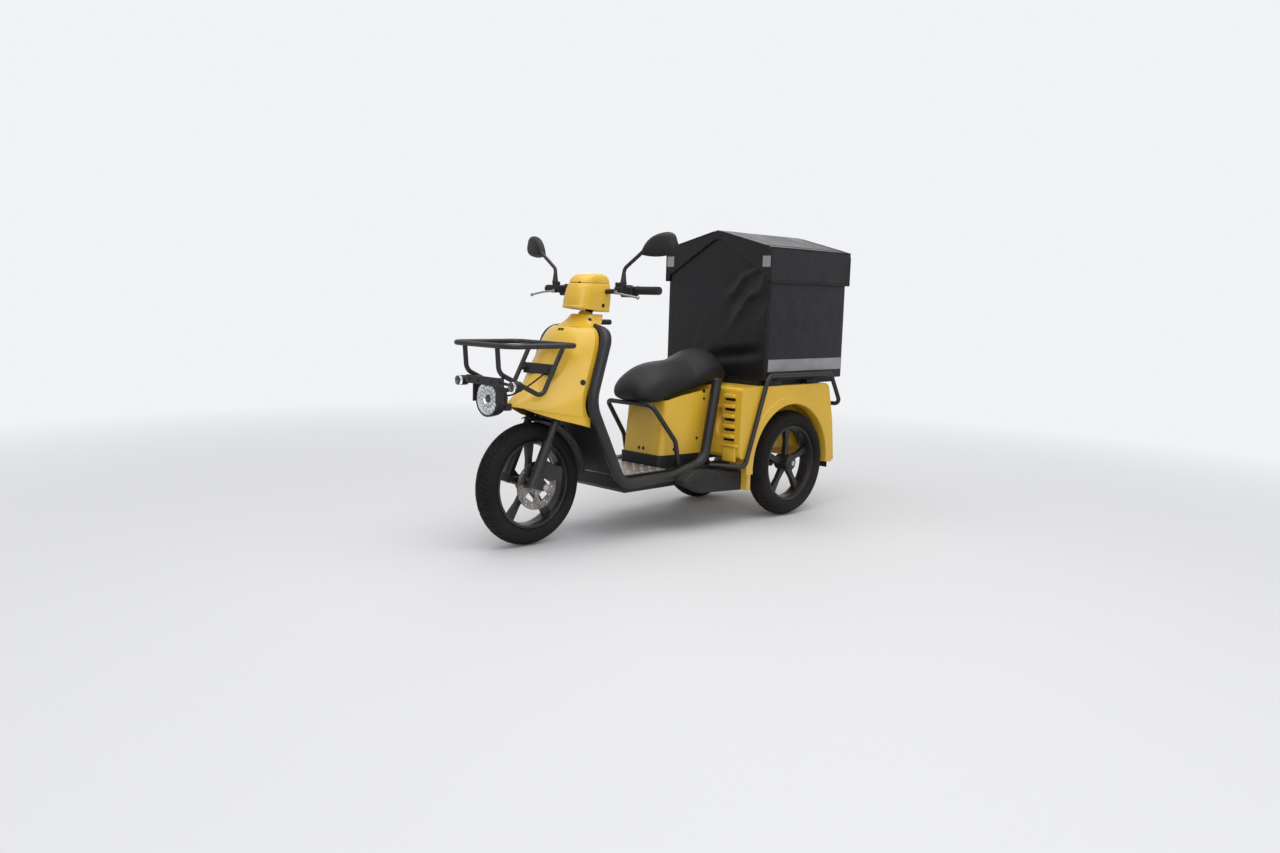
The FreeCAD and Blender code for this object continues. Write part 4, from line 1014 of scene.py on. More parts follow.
@dataclass
class Tyre:
    """Road tyre with cut tread, turned about its axle."""

    node: str
    body: Body
    x: float
    y: float
    width: float
    radius: float = 0.265
    flange: float = 0.189
    steps: int = 288
    repeat: int = 8

    def profile(self) -> list[tuple[float, float]]:
        """Half section from the crown to the bead, then mirrored.

        Returns:
            Points (along the axle, radius).
        """
        half = self.width / 2
        drop = self.radius - 0.26 * self.width
        side = [
            (0.00, self.radius), (0.06, self.radius - 0.0001), (0.13, self.radius - 0.0006),
            (0.30, self.radius - 0.0026), (0.47, self.radius - 0.0062), (0.64, self.radius - 0.0116),
            (0.80, self.radius - 0.0182), (0.905, drop + 0.001),
            (0.935, drop - 0.003), (0.955, drop - 0.0045), (0.975, drop - 0.008), (0.990, drop - 0.013),
            (0.995, 0.2155), (1.00, 0.2145), (0.995, 0.2125), (0.965, 0.205), (0.90, 0.1985),
            (0.80, 0.1945), (0.70, self.flange + 0.0035), (0.655, self.flange + 0.001), (0.632, 0.181),
        ]
        left = [(share * half, radius) for share, radius in side]
        return [(-along, radius) for along, radius in reversed(left[1:])] + left

    def build(self) -> None:
        """Build the tyre and let it stand for the plain one."""
        shape = Shape(self.node + "_treaded")
        shape.lathe(self.profile(), self.steps)
        half = self.width / 2
        grooves = []
        for face in shape.mesh.faces:
            middle = face.calc_center_median()
            share = abs(middle.x) / half
            radius = math.hypot(middle.y, middle.z)
            turn = int((math.atan2(middle.z, middle.y) / math.tau % 1.0) * self.steps)
            turn += self.repeat // 2 if middle.x > 0 else 0
            lateral = turn % self.repeat == 0 and 0.13 < share < 0.85
            short = turn % self.repeat == self.repeat // 2 and 0.47 < share < 0.80
            line = 0.06 < share < 0.13
            if radius > self.radius - 0.03 and (lateral or short or line):
                grooves.append(face)
        bmesh.ops.inset_region(shape.mesh, faces=grooves, thickness=0.0007, depth=-0.0032,
                               use_even_offset=True, use_boundary=True)
        for vert in shape.mesh.verts:
            twist = 0.085 * min(1.0, abs(vert.co.x) / half)
            vert.co = Matrix.Rotation(twist, 3, "X") @ vert.co
        edge = [item for item in shape.mesh.edges if item.is_boundary]
        left = [item for item in edge if item.verts[0].co.x > 0]
        right = [item for item in edge if item.verts[0].co.x < 0]
        bmesh.ops.bridge_loops(shape.mesh, edges=left + right)
        bmesh.ops.recalc_face_normals(shape.mesh, faces=shape.mesh.faces[:])
        bmesh.ops.translate(shape.mesh, vec=(self.x, self.y, AXLE_Z), verts=shape.mesh.verts[:])
        item = shape.done(self.body, Slot.TYRE, RUBBER, 28.0)
        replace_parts(item, self.node)


@dataclass
class WheelFittings:
    """Nuts, bolts and valves of the three wheels."""

    hub_out: float = 0.3292
    washer_radius: float = 0.019
    nut_radius: float = 0.0145
    nut_edge: float = 0.0008
    valve_turn: float = 54.0
    bolt_count: int = 5
    bolt_turn: float = 36.0
    bolt_circle: float = 0.030
    bolt_start: float = 0.0595
    bolt_end: float = 0.0655
    bolt_radius: float = 0.0058
    bolt_tip: float = 0.0052

    def build(self) -> None:
        """Build the fittings of each wheel."""
        self.disc_bolts()
        self.hub_nut(Body.REAR_LEFT, 1)
        self.hub_nut(Body.REAR_RIGHT, -1)
        self.valve(Body.FRONT_WHEEL, 0.0, FRONT_Y, 1)
        self.valve(Body.REAR_LEFT, REAR_X, REAR_Y, 1)
        self.valve(Body.REAR_RIGHT, -REAR_X, REAR_Y, -1)

    def disc_bolts(self) -> None:
        """Build the bolts of the brake disc's carrier."""
        shape = Shape("disc_bolts")
        for bolt in range(self.bolt_count):
            angle = math.radians(360.0 / self.bolt_count * bolt + self.bolt_turn)
            y = FRONT_Y + self.bolt_circle * math.cos(angle)
            z = AXLE_Z + self.bolt_circle * math.sin(angle)
            shape.rod((self.bolt_start, y, z), (self.bolt_end, y, z), self.bolt_radius, self.bolt_tip, 12)
        shape.done(Body.FRONT_WHEEL, Slot.DISC, ZINC)

    def hub_nut(self, body: Body, side: int) -> None:
        """Build the washer and the nut of a rear hub.

        Args:
            body: The wheel.
            side: 1 on the rider's left, -1 on the right.
        """
        shape = Shape(body.value + "_nut")
        shape.rod((side * self.hub_out, REAR_Y, AXLE_Z),
                  (side * (self.hub_out + 0.003), REAR_Y, AXLE_Z), self.washer_radius)
        nut = shape.rod((side * (self.hub_out + 0.002), REAR_Y, AXLE_Z),
                        (side * (self.hub_out + 0.011), REAR_Y, AXLE_Z), self.nut_radius, sides=6)
        shape.soften(list({edge for vert in nut for edge in vert.link_edges}), self.nut_edge)
        shape.done(body, Slot.DISC, ZINC)

    def valve(self, body: Body, x: float, y: float, side: int) -> None:
        """Build a valve between two spokes of a rim.

        Args:
            body: The wheel.
            x: Middle of the wheel.
            y: Place of its axle.
            side: Way it leans, 1 for the rider's left and -1 for the right.
        """
        shape = Shape(body.value + "_valve")
        spoke = math.radians(self.valve_turn)
        away = Vector((0.0, math.cos(spoke), math.sin(spoke)))
        centre = Vector((x, y, AXLE_Z))
        neck = centre + away * 0.158 + Vector((side * 0.006, 0, 0))
        shape.rod(centre + away * 0.176, neck, 0.0042, 0.0034, 12)
        shape.rod(neck, centre + away * 0.147 + Vector((side * 0.009, 0, 0)), 0.0040, 0.0036, 12)
        shape.done(body, Slot.GRIP, GRIP_RUBBER)


@dataclass
class Saddle:
    """Padded saddle with a sewn edge."""

    voxel: float = 0.006
    cap: float = 0.006
    frames: int = 18

    def build(self) -> None:
        """Build the padded saddle and its sewn edge."""
        cushion = self.cushion()
        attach(cushion, Body.CHASSIS.value)
        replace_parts(cushion, "saddle")
        self.piping(cushion)

    def cushion(self) -> bpy.types.Object:
        """Swell a copy of the plain saddle.

        Returns:
            The cushion.
        """
        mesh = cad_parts["saddle"].data.copy()
        item = bpy.data.objects.new("saddle_cushion", mesh)
        bpy.context.scene.collection.objects.link(item)
        body = bmesh.new()
        body.from_mesh(mesh)
        bmesh.ops.remove_doubles(body, verts=body.verts[:], dist=0.0002)
        body.normal_update()
        for vert in body.verts:
            vert.co -= vert.normal * 0.0015
        body.to_mesh(mesh)
        body.free()
        remesh = item.modifiers.new("voxels", "REMESH")
        remesh.mode = "VOXEL"
        remesh.voxel_size = self.voxel
        self.apply(item)
        self.swell(item)
        self.shape_pad(item)
        item.data.materials.clear()
        item.data.materials.append(VINYL.material())
        item.data.polygons.foreach_set("use_smooth", [True] * len(item.data.polygons))
        log.info("saddle_cushion: %d faces", len(item.data.polygons))
        return item

    def apply(self, item: bpy.types.Object) -> None:
        """Turn an object's modifiers into its mesh.

        Args:
            item: The object.
        """
        made = bpy.data.meshes.new_from_object(item.evaluated_get(bpy.context.evaluated_depsgraph_get()))
        item.modifiers.clear()
        item.data = made

    def swell(self, item: bpy.types.Object) -> None:
        """Blow the cushion up a little as cloth, no point by more than the cap.

        Args:
            item: The cushion.
        """
        rest = [vert.co.copy() for vert in item.data.vertices]
        cloth = item.modifiers.new("swell", "CLOTH")
        cloth.settings.use_pressure = True
        cloth.settings.uniform_pressure_force = 3.0
        cloth.settings.effector_weights.gravity = 0.0
        cloth.settings.quality = 5
        for step in range(1, self.frames + 1):
            bpy.context.scene.frame_set(step)
        self.apply(item)
        bpy.context.scene.frame_set(1)
        for vert, start in zip(item.data.vertices, rest):
            moved = vert.co - start
            if moved.length > self.cap:
                vert.co = start + moved.normalized() * self.cap

    def shape_pad(self, item: bpy.types.Object) -> None:
        """Smooth the pad.

        Args:
            item: The cushion.
        """
        body = bmesh.new()
        body.from_mesh(item.data)
        for _ in range(6):
            bmesh.ops.smooth_vert(body, verts=body.verts[:], factor=0.5, use_axis_x=True, use_axis_y=True,
                                  use_axis_z=True)
        body.to_mesh(item.data)
        body.free()

    def piping(self, cushion: bpy.types.Object) -> None:
        """Sew a cord round the lower edge of the cover.

        Args:
            cushion: The cushion that it follows.
        """
        tree = BVHTree.FromObject(cushion, bpy.context.evaluated_depsgraph_get())
        shape = Shape("saddle_piping")
        stations = (
            # from the rear axle, height above the floor
            (-0.852, 0.613), (-0.822, 0.609), (-0.780, 0.607), (-0.735, 0.608), (-0.680, 0.622),
            (-0.620, 0.640), (-0.560, 0.652), (-0.500, 0.666), (-0.440, 0.678), (-0.380, 0.686),
            (-0.330, 0.692), (-0.295, 0.698),
        )
        left = []
        for station, height in stations:
            place, _, _, _ = tree.ray_cast(Vector((0.4, REAR_Y + station, height)), Vector((-1, 0, 0)))
            if place is not None:
                left.append(Vector((place.x, place.y, place.z)))
        right = [Vector((-p.x, p.y, p.z)) for p in reversed(left)]
        shape.pipe([tuple(p) for p in left + right], 0.0028, closed=True)
        shape.done(Body.CHASSIS, Slot.SADDLE, VINYL)


@dataclass
class FabricBox:
    """Cargo box of coated cloth over stiff walls, with crumples, seams and tapes."""

    half: float = 0.328
    front: float = 0.4065
    rear: float = 1.0415
    low: float = 0.6889
    side_top: float = 1.225
    shoulder: tuple[float, float] = (0.312, 1.3206)
    ridge: float = 1.4043
    fold: float = 1.015
    wall: float = 0.007

    def build(self) -> None:
        """Build the box's cloth, tapes and sewn-in cords."""
        self.skin()
        self.tapes()
        self.cords()

    def crumple(self, place: Vector, normal: Vector) -> float:
        """How far the cloth stands out at a place.

        Args:
            place: A point of the flat wall.
            normal: The wall's direction.

        Returns:
            The distance along the normal.
        """
        side = abs(normal.x) > 0.7
        if abs(normal.z) > 0.5:
            return 0.0
        across = (place.y - self.front) / (self.rear - self.front) * 2 - 1 if side else place.x / self.half
        rise = (place.z - self.low) / (self.side_top - self.low)
        foot = max(0.0, min(1.0, 5 * rise))
        under_lid = max(0.0, min(1.0, (1.13 - place.z) / 0.1))
        hold = max(0.0, 1 - abs(across) ** 6) * foot * under_lid
        billow = 0.004 * hold + 0.0030 * hold * noise.noise(place * 5.0)
        fine = 0.0016 * hold * noise.noise(place * 17.0 + Vector((3.0, 1.0, 7.0)))
        step = 0.003 if side and place.z > self.fold else 0.0
        crush = 0.0
        if normal.y < -0.7:
            reach = math.exp(-((place.x - 0.20) / 0.13) ** 2 - ((place.z - 1.09) / 0.14) ** 2)
            turn = math.atan2(1.29 - place.z, 0.36 - place.x)
            folds = 1.0 - 2.0 * abs(math.sin(6.0 * turn + 2.4 * noise.noise(place * 7.0)))
            crush = reach * (0.0105 * folds + 0.0050 * noise.noise(place * 30.0))
            low = max(0.0, 1.0 - abs((place.x - 0.12) / 0.19) ** 4)
            slope = place.z - 0.80 - 0.12 * (place.x - 0.12)
            ridge = 0.002 * math.exp(-((slope - 0.05) / 0.03) ** 2)
            crush += low * (ridge - 0.011 * math.exp(-(slope / 0.03) ** 2))
            crush = max(-0.013, min(0.0085, crush))
        return billow + fine + step + crush

    def skin(self) -> None:
        """Build the cloth walls with their gables."""
        shape = Shape("cargo_box_cloth")
        half, (shoulder, eave) = self.half, self.shoulder
        outline = [(-half, self.low), (half, self.low), (half, self.side_top), (shoulder, eave),
                   (0.0, self.ridge), (-shoulder, eave), (-half, self.side_top)]
        shape.slab([(x, self.front, z) for x, z in outline], (0.0, self.rear - self.front, 0.0))
        mesh = shape.mesh
        mesh.normal_update()
        open_top = [face for face in mesh.faces if face.normal.z > 0.05 and abs(face.normal.y) < 0.5]
        bmesh.ops.delete(mesh, geom=open_top, context="FACES")
        upright = [edge for edge in mesh.edges
                   if abs(edge.verts[0].co.x - edge.verts[1].co.x) < 1e-6
                   and abs(edge.verts[0].co.y - edge.verts[1].co.y) < 1e-6
                   and abs(edge.verts[0].co.x) > half - 1e-4]
        shape.soften(upright, 0.012, 3)
        for height in (self.fold - 0.0015, self.fold + 0.0015):
            bmesh.ops.bisect_plane(mesh, geom=shape.everything(), dist=1e-6, plane_co=(0, 0, height),
                                   plane_no=(0, 0, 1))
        shape.cut_grid(Vector((-half, self.front, self.low)), Vector((half, self.rear, self.ridge)), 0.0105)
        mesh.normal_update()
        moves = [(vert, vert.normal * self.crumple(vert.co, vert.normal)) for vert in mesh.verts]
        for vert, move in moves:
            vert.co += move
        item = shape.done(Body.CHASSIS, Slot.FABRIC, BOX_CLOTH, 60.0)
        solid = item.modifiers.new("thickness", "SOLIDIFY")
        solid.thickness = self.wall
        solid.offset = -1.0
        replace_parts(item, "cargo_box")

    def tapes(self) -> None:
        """Sew the grey tape along each side."""
        shape = Shape("side_tapes")
        y0, y1, low, high = 0.4225, 1.0365, 0.731, 0.790
        outline = [(0.0, y0, low), (0.0, y1, low), (0.0, y1, high), (0.0, y0, high)]
        shape.slab(outline, (0.0008, 0.0, 0.0))
        shape.cut_grid(Vector((-0.1, y0, low)), Vector((0.1, y1, high)), 0.012)
        for vert in shape.mesh.verts:
            base = Vector((self.half, vert.co.y, vert.co.z))
            lift = self.crumple(base, Vector((1, 0, 0)))
            vert.co.x += self.half + lift + 0.0009 + 0.0008 * noise.noise(base * 22.0)
        shape.mirrored()
        shape.done(Body.CHASSIS, Slot.FABRIC, TAPE)

    def cords(self) -> None:
        """Sew round cords into the box's corners and rims."""
        shape = Shape("box_piping")
        inset = 0.0035
        for side in (1, -1):
            for y, back in ((self.front, 1), (self.rear, -1)):
                x = side * (self.half - inset)
                shape.pipe([(x, y + back * inset, self.low + 0.004), (x, y + back * inset, 1.15)], 0.0032,
                           order=2)
            x = side * (self.half + 0.0005)
            low = self.low + 0.004
            shape.pipe([(x, self.front + 0.01, low), (x, self.rear - 0.01, low)], 0.003, order=2)
        for y in (self.front - 0.0005, self.rear + 0.0005):
            shape.pipe([(-self.half + 0.01, y, self.low + 0.004), (self.half - 0.01, y, self.low + 0.004)],
                       0.003, order=2)
        shape.done(Body.CHASSIS, Slot.FABRIC, BOX_CLOTH)


@dataclass
class FabricLid:
    """Gabled cloth lid with flaps, gable bands, sewn edges and corner patches."""

    half: float = 0.345
    front: float = 0.3982
    rear: float = 1.0498
    eave: float = 1.325
    ridge: float = 1.413
    low: float = 1.160
    wall: float = 0.005

    def build(self) -> None:
        """Build the lid's cloth, sewn edges and patches."""
        self.skin()
        self.edges()
        self.patches()

    def sag(self, place: Vector, normal: Vector) -> float:
        """How far the cloth stands out at a place.

        Args:
            place: A point of the plain lid.
            normal: Its direction.

        Returns:
            The distance along the normal.
        """
        along = (place.y - self.front) / (self.rear - self.front) * 2 - 1
        hold = max(0.0, 1 - abs(along) ** 8)
        if normal.z > 0.5:
            across = abs(abs(place.x) / self.half * 2 - 1)
            dip = -0.006 * (1 - across ** 2) * hold
            return dip + 0.0022 * noise.noise(Vector((place.x * 4, place.y * 7, 2.0))) * hold
        if abs(normal.x) > 0.7:
            loose = (self.eave - place.z) / (self.eave - self.low)
            wave = 0.0045 * loose * noise.noise(Vector((9.0, place.y * 8.0, place.z * 2.0)))
            return wave - 0.002 * loose * hold
        return 0.0012 * noise.noise(place * 13.0)

    def skin(self) -> None:
        """Build the roof, side flaps and gable bands as one cloth."""
        shape = Shape("cargo_lid_cloth")
        half, low = self.half, self.low
        band = [(-half, low), (0.022 - half, low), (0.026 - half, low + 0.03), (-0.018, self.ridge - 0.046),
                (0.018, self.ridge - 0.046), (half - 0.026, low + 0.03), (half - 0.022, low), (half, low),
                (half, self.eave), (0.0, self.ridge), (-half, self.eave)]
        shape.slab([(x, self.front, z) for x, z in band], (0.0, self.rear - self.front, 0.0))
        mesh = shape.mesh
        mesh.normal_update()
        inner = []
        for face in mesh.faces:
            middle = face.calc_center_median()
            roof = self.ridge - (self.ridge - self.eave) * abs(middle.x) / half
            bottom = middle.z < low + 1e-4
            below_roof = middle.z < roof - 0.02 and abs(middle.x) < half - 1e-3
            if abs(face.normal.y) < 0.5 and (bottom or below_roof):
                inner.append(face)
        bmesh.ops.delete(mesh, geom=inner, context="FACES")
        long_edges = [edge for edge in mesh.edges if edge.calc_length() > 0.5 and not edge.is_boundary]
        shape.soften(long_edges, 0.007, 3)
        shape.cut_grid(Vector((-half, self.front, low)), Vector((half, self.rear, self.ridge)), 0.018)
        mesh.normal_update()
        moves = [(vert, vert.normal * self.sag(vert.co, vert.normal)) for vert in mesh.verts]
        for vert, move in moves:
            vert.co += move
        item = shape.done(Body.LID, Slot.FABRIC, BOX_CLOTH, 60.0)
        item.data.materials.append(PAINTED_SHEEN_ROOF_CLOTH.material())
        # Up-facing faces take the lighter roof cloth, a painted sheen.
        for face in item.data.polygons:
            face.material_index = 1 if face.normal.z > 0.5 else 0
        solid = item.modifiers.new("thickness", "SOLIDIFY")
        solid.thickness = self.wall
        solid.offset = -1.0
        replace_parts(item, "cargo_lid")

    def edges(self) -> None:
        """Sew bindings along the gables, eaves and flaps."""
        shape = Shape("lid_binding")
        half, front, rear = self.half, self.front, self.rear
        for y in (front - 0.0005, rear + 0.0005):
            shape.pipe([(-half, y, self.low), (-half, y, self.eave), (0.0, y, self.ridge - 0.001),
                        (half, y, self.eave), (half, y, self.low)], 0.0026, order=2)
        for side in (1, -1):
            x = side * (half + 0.0004)
            shape.pipe([(x, front, self.eave + 0.0005), (x, rear, self.eave + 0.0005)], 0.0026, order=2)
            shape.pipe([(x - side * 0.003, front, self.low + 0.001),
                        (x - side * 0.003, rear, self.low + 0.001)], 0.0028, order=2)
            inner = half - 0.042
            z = self.eave + 0.0015 + (self.ridge - self.eave) * (half - inner) / half
            shape.pipe([(side * inner, front + 0.004, z), (side * inner, rear - 0.004, z)], 0.0014, order=2)
        shape.done(Body.LID, Slot.FABRIC, BOX_CLOTH)

    def patches(self) -> None:
        """Sew the grey squares at the front corners."""
        shape = Shape("corner_patches")
        x0, x1, z0, z1 = 0.291, 0.339, 1.233, 1.285
        y = self.front - 0.0012
        outline = [(x0, y, z0), (x1, y, z0), (x1, y, z1), (x0, y, z1)]
        faces = shape.slab(outline, (0.0, -0.0012, 0.0))
        shape.soften(list({edge for face in faces for edge in face.edges}), 0.0004, 1)
        shape.mirrored()
        shape.done(Body.LID, Slot.FABRIC, TAPE)


@dataclass
class Headlamp:
    """Inside of the round headlamp: segmented reflector, inner ring and clear lens."""

    y: float = FRONT_Y - 0.224
    z: float = 0.641
    radius: float = 0.0675
    cups: int = 16

    def place(self) -> Matrix:
        """Matrix that turns the X axis to the lamp's own, pointing back."""
        return Matrix.Translation((0.0, self.y, self.z)) @ Matrix.Rotation(math.radians(90), 4, "Z")

    def build(self) -> None:
        """Build the reflector, the ring of cups and the lens."""
        shape = Shape("headlamp_reflector")
        profile = [(0.0005, self.radius), (0.004, 0.064), (0.0112, 0.054), (0.0112, 0.034), (0.003, 0.030),
                   (0.0025, 0.026), (0.009, 0.021), (0.0112, 0.0)]
        shape.lathe(profile, 64, self.place())
        for cup in range(self.cups):
            angle = math.tau * cup / self.cups
            out = Vector((math.cos(angle), 0.0, math.sin(angle)))
            middle = Vector((0.0, self.y + 0.0085, self.z)) + out * 0.0475
            turn = Matrix.Rotation(-angle, 4, "Y")
            shape.ball(middle, (0.012, 0.0055, 0.0075), turn, 12, 8)
        shape.done(Body.CHASSIS, Slot.GLASS, CHROME)
        self.core()
        glass = Shape("headlamp_glass")
        dome = [(0.0015, self.radius), (-0.0008, 0.066), (-0.0035, 0.050), (-0.0048, 0.028), (-0.0052, 0.0)]
        inner = [(along + 0.0018, radius * 0.985) for along, radius in reversed(dome)]
        glass.lathe(dome + inner + [dome[0]], 64, self.place())
        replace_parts(glass.done(Body.CHASSIS, Slot.GLASS, LENS), "headlamp_lens")

    def core(self) -> None:
        """Build the dark middle lens and the rim's clips."""
        shape = Shape("headlamp_core")
        shape.ball((0.0, self.y + 0.0085, self.z), (0.017, 0.006, 0.017), None, 24, 12)
        for turn in (45, 135, 225, 315):
            angle = math.radians(turn)
            x, z = 0.0715 * math.cos(angle), self.z + 0.0715 * math.sin(angle)
            shape.rod((x, self.y - 0.0018, z), (x, self.y + 0.001, z), 0.0028, sides=12)
        shape.done(Body.CHASSIS, Slot.PLASTIC, PLASTIC_BLACK)


@dataclass
class Mirrors:
    """Mirror heads on their stems, with silvered glass towards the rider."""

    middle: Point = (0.394, -0.012, 0.199)
    toe: float = 15.0
    foot: Point = (0.224, -0.050, 0.0343)
    stem_radius: float = 0.008
    outline: tuple = (
        # millimetres across and up: the start, then a point passed and an end for each bow
        (-84, -42), (-8, -50, 66, -38), (90, -16, 84, 18), (66, 46, 24, 50), (-44, 21, -84, -42),
    )
    depths: tuple = (
        # share of the outline, metres ahead of the glass
        (0.93, 0.001), (0.97, -0.0015), (1.0, 0.001), (1.0, 0.009), (0.95, 0.018), (0.82, 0.026),
        (0.60, 0.031), (0.3, 0.033),
    )

    def ring(self, share: float, ahead: float) -> list[Vector]:
        """Outline of the head at a depth, in the vehicle's axes.

        Args:
            share: Size of the ring.
            ahead: Distance in front of the glass.

        Returns:
            The ring's points.
        """
        flat = []
        here = self.outline[0]
        for x, z, end_x, end_z in self.outline[1:]:
            flat.extend(arc_through((*here, 0), (x, z, 0), (end_x, end_z, 0), 7))
            here = (end_x, end_z)
        turn = Matrix.Rotation(math.radians(self.toe), 4, "Z")
        place = Matrix.Translation(BAR + Vector(self.middle)) @ turn
        return [place @ Vector((p.x * share * 0.001, -ahead, p.y * share * 0.001)) for p in flat]

    def build(self) -> None:
        """Build the heads, the stems and the glasses."""
        heads = Shape("mirror_housings")
        heads.loft([self.ring(share, ahead) for share, ahead in self.depths])
        heads.mirrored()
        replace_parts(heads.done(Body.STEERING, Slot.PLASTIC, PLASTIC_BLACK, 50.0), "mirror_heads")
        stems = Shape("mirror_arms")
        foot = BAR + Vector(self.foot)
        bend = BAR + Vector((0.226, -0.048, 0.098))
        tip = BAR + Vector((0.340, -0.044, 0.175))
        stems.tube([(*foot, 0), (*bend, 0.030), (*tip, 0)], self.stem_radius)
        stems.rod(foot, foot + Vector((0.001, 0.001, 0.048)), 0.014, self.stem_radius, 24)
        stems.rod(foot, foot + Vector((0, 0, 0.007)), 0.0155, sides=6)
        stems.mirrored()
        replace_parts(stems.done(Body.STEERING, Slot.FRAME, TUBE_BLACK), "mirror_stems")
        glass = Shape("mirror_glasses")
        glass.loft([self.ring(0.90, -0.0006), self.ring(0.90, 0.0006)])
        glass.mirrored()
        glass.done(Body.STEERING, Slot.GLASS, MIRROR)


@dataclass
class Cowl:
    """Handlebar cowl: the front mask with its lip, and the cap over it."""

    steps: int = 8
    corner: float = 0.016
    mask: tuple = (
        # above the handlebar, front, rear, half width, rise towards the front for each metre
        (-0.083, -0.150, 0.014, 0.062, 0.09), (-0.086, -0.158, 0.018, 0.067, 0.09),
        (-0.088, -0.164, 0.020, 0.0705, 0.09), (-0.078, -0.165, 0.021, 0.0715, 0.08),
        (-0.072, -0.161, 0.021, 0.0695, 0.07), (-0.050, -0.161, 0.026, 0.0705, 0.04),
        (-0.020, -0.155, 0.032, 0.0690, 0.0), (0.010, -0.146, 0.034, 0.0655, 0.0),
        (0.030, -0.136, 0.034, 0.0620, 0.0), (0.0345, -0.131, 0.032, 0.0595, 0.0),
        (0.0345, -0.100, 0.010, 0.040, 0.0),
    )
    cap: tuple = (
        # above the handlebar, front, rear, half width
        (0.0352, -0.100, 0.010, 0.040), (0.0352, -0.128, 0.031, 0.0580), (0.038, -0.1315, 0.033, 0.0600),
        (0.048, -0.127, 0.031, 0.0590), (0.061, -0.115, 0.024, 0.0560), (0.071, -0.098, 0.012, 0.0500),
        (0.077, -0.076, -0.003, 0.040), (0.0792, -0.050, -0.018, 0.022),
    )

    def ring(self, height: float, front: float, rear: float, half: float,
             tilt: float = 0.0) -> list[Vector]:
        """Level or tilted section of the cowl.

        Args:
            height: Height above the handlebar.
            front: Foremost place.
            rear: Rearmost place.
            half: Half width.
            tilt: Rise towards the front for each metre.

        Returns:
            The ring's points.
        """
        side, corner = 0.38 * front, self.corner
        flat = [Vector((-half, side, 0))]
        flat += arc_through((-half, side, 0), (-half * 0.86, front * 0.86, 0), (0, front, 0), self.steps)
        flat += arc_through((0, front, 0), (half * 0.86, front * 0.86, 0), (half, side, 0), self.steps)
        flat += arc_through((half, side, 0), (half * 1.01, rear * 0.4, 0), (half, rear - corner, 0), 4)
        flat += arc_through((half, rear - corner, 0), (half - 0.3 * corner, rear - 0.3 * corner, 0),
                            (half - corner, rear, 0), 3)
        flat += arc_through((half - corner, rear, 0), (0, rear + 0.002, 0), (corner - half, rear, 0), 6)
        flat += arc_through((corner - half, rear, 0), (0.3 * corner - half, rear - 0.3 * corner, 0),
                            (-half, rear - corner, 0), 3)
        flat += arc_through((-half, rear - corner, 0), (-half * 1.01, rear * 0.4, 0),
                            (-half, side, 0), 4)[:-1]
        return [BAR + Vector((p.x, p.y, height - tilt * p.y)) for p in flat]

    def build(self) -> None:
        """Build the mask and the cap."""
        mask = Shape("cowl_front")
        mask.loft([self.ring(*row) for row in self.mask])
        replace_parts(mask.done(Body.STEERING, Slot.YELLOW, YELLOW, 40.0), "cowl_mask")
        cap = Shape("cowl_top")
        cap.loft([self.ring(*row) for row in self.cap])
        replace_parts(cap.done(Body.STEERING, Slot.YELLOW, YELLOW, 40.0), "cowl_cap")


@dataclass
class Mudguard:
    """Front mudguard over the rear of the wheel, held to both fork legs."""

    radius: float = 0.2905
    half: float = 0.062
    wall: float = 0.003
    sag: float = 0.014
    start: float = -3.0
    sweep: float = 90.0
    steps: int = 24
    stay_reach: float = 0.2785
    stay_radius: float = 0.0065
    stay_spread: float = 4.0

    def build(self) -> None:
        """Build the guard, rounded at its ends and sagging to its sides, and its stays."""
        shape = Shape("front_guard")
        across = [self.half * (step / 6 - 1) for step in range(13)]
        rings = []
        for turn in range(self.steps + 1):
            angle = math.radians(self.start + self.sweep * turn / self.steps)
            ends = 1.0 - 0.10 * (max(0, 2 - turn) + max(0, turn - self.steps + 2)) ** 2
            section = [(x * ends, self.radius - self.sag * (x / self.half) ** 2) for x in across]
            section += [(x, r - self.wall) for x, r in reversed(section)]
            rings.append([Vector((x, FRONT_Y + r * math.sin(angle), AXLE_Z + r * math.cos(angle)))
                          for x, r in section])
        shape.loft(rings)
        for lean in (RAKE_DEG - self.stay_spread, RAKE_DEG + self.stay_spread):
            angle = math.radians(lean)
            y = FRONT_Y + self.stay_reach * math.sin(angle)
            z = AXLE_Z + self.stay_reach * math.cos(angle)
            for side in (-1, 1):
                shape.rod((side * 0.0590, y, z), (side * 0.0740, y, z), self.stay_radius, sides=16)
        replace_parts(shape.done(Body.STEERING, Slot.PLASTIC, PLASTIC_BLACK, 50.0), "front_mudguard")


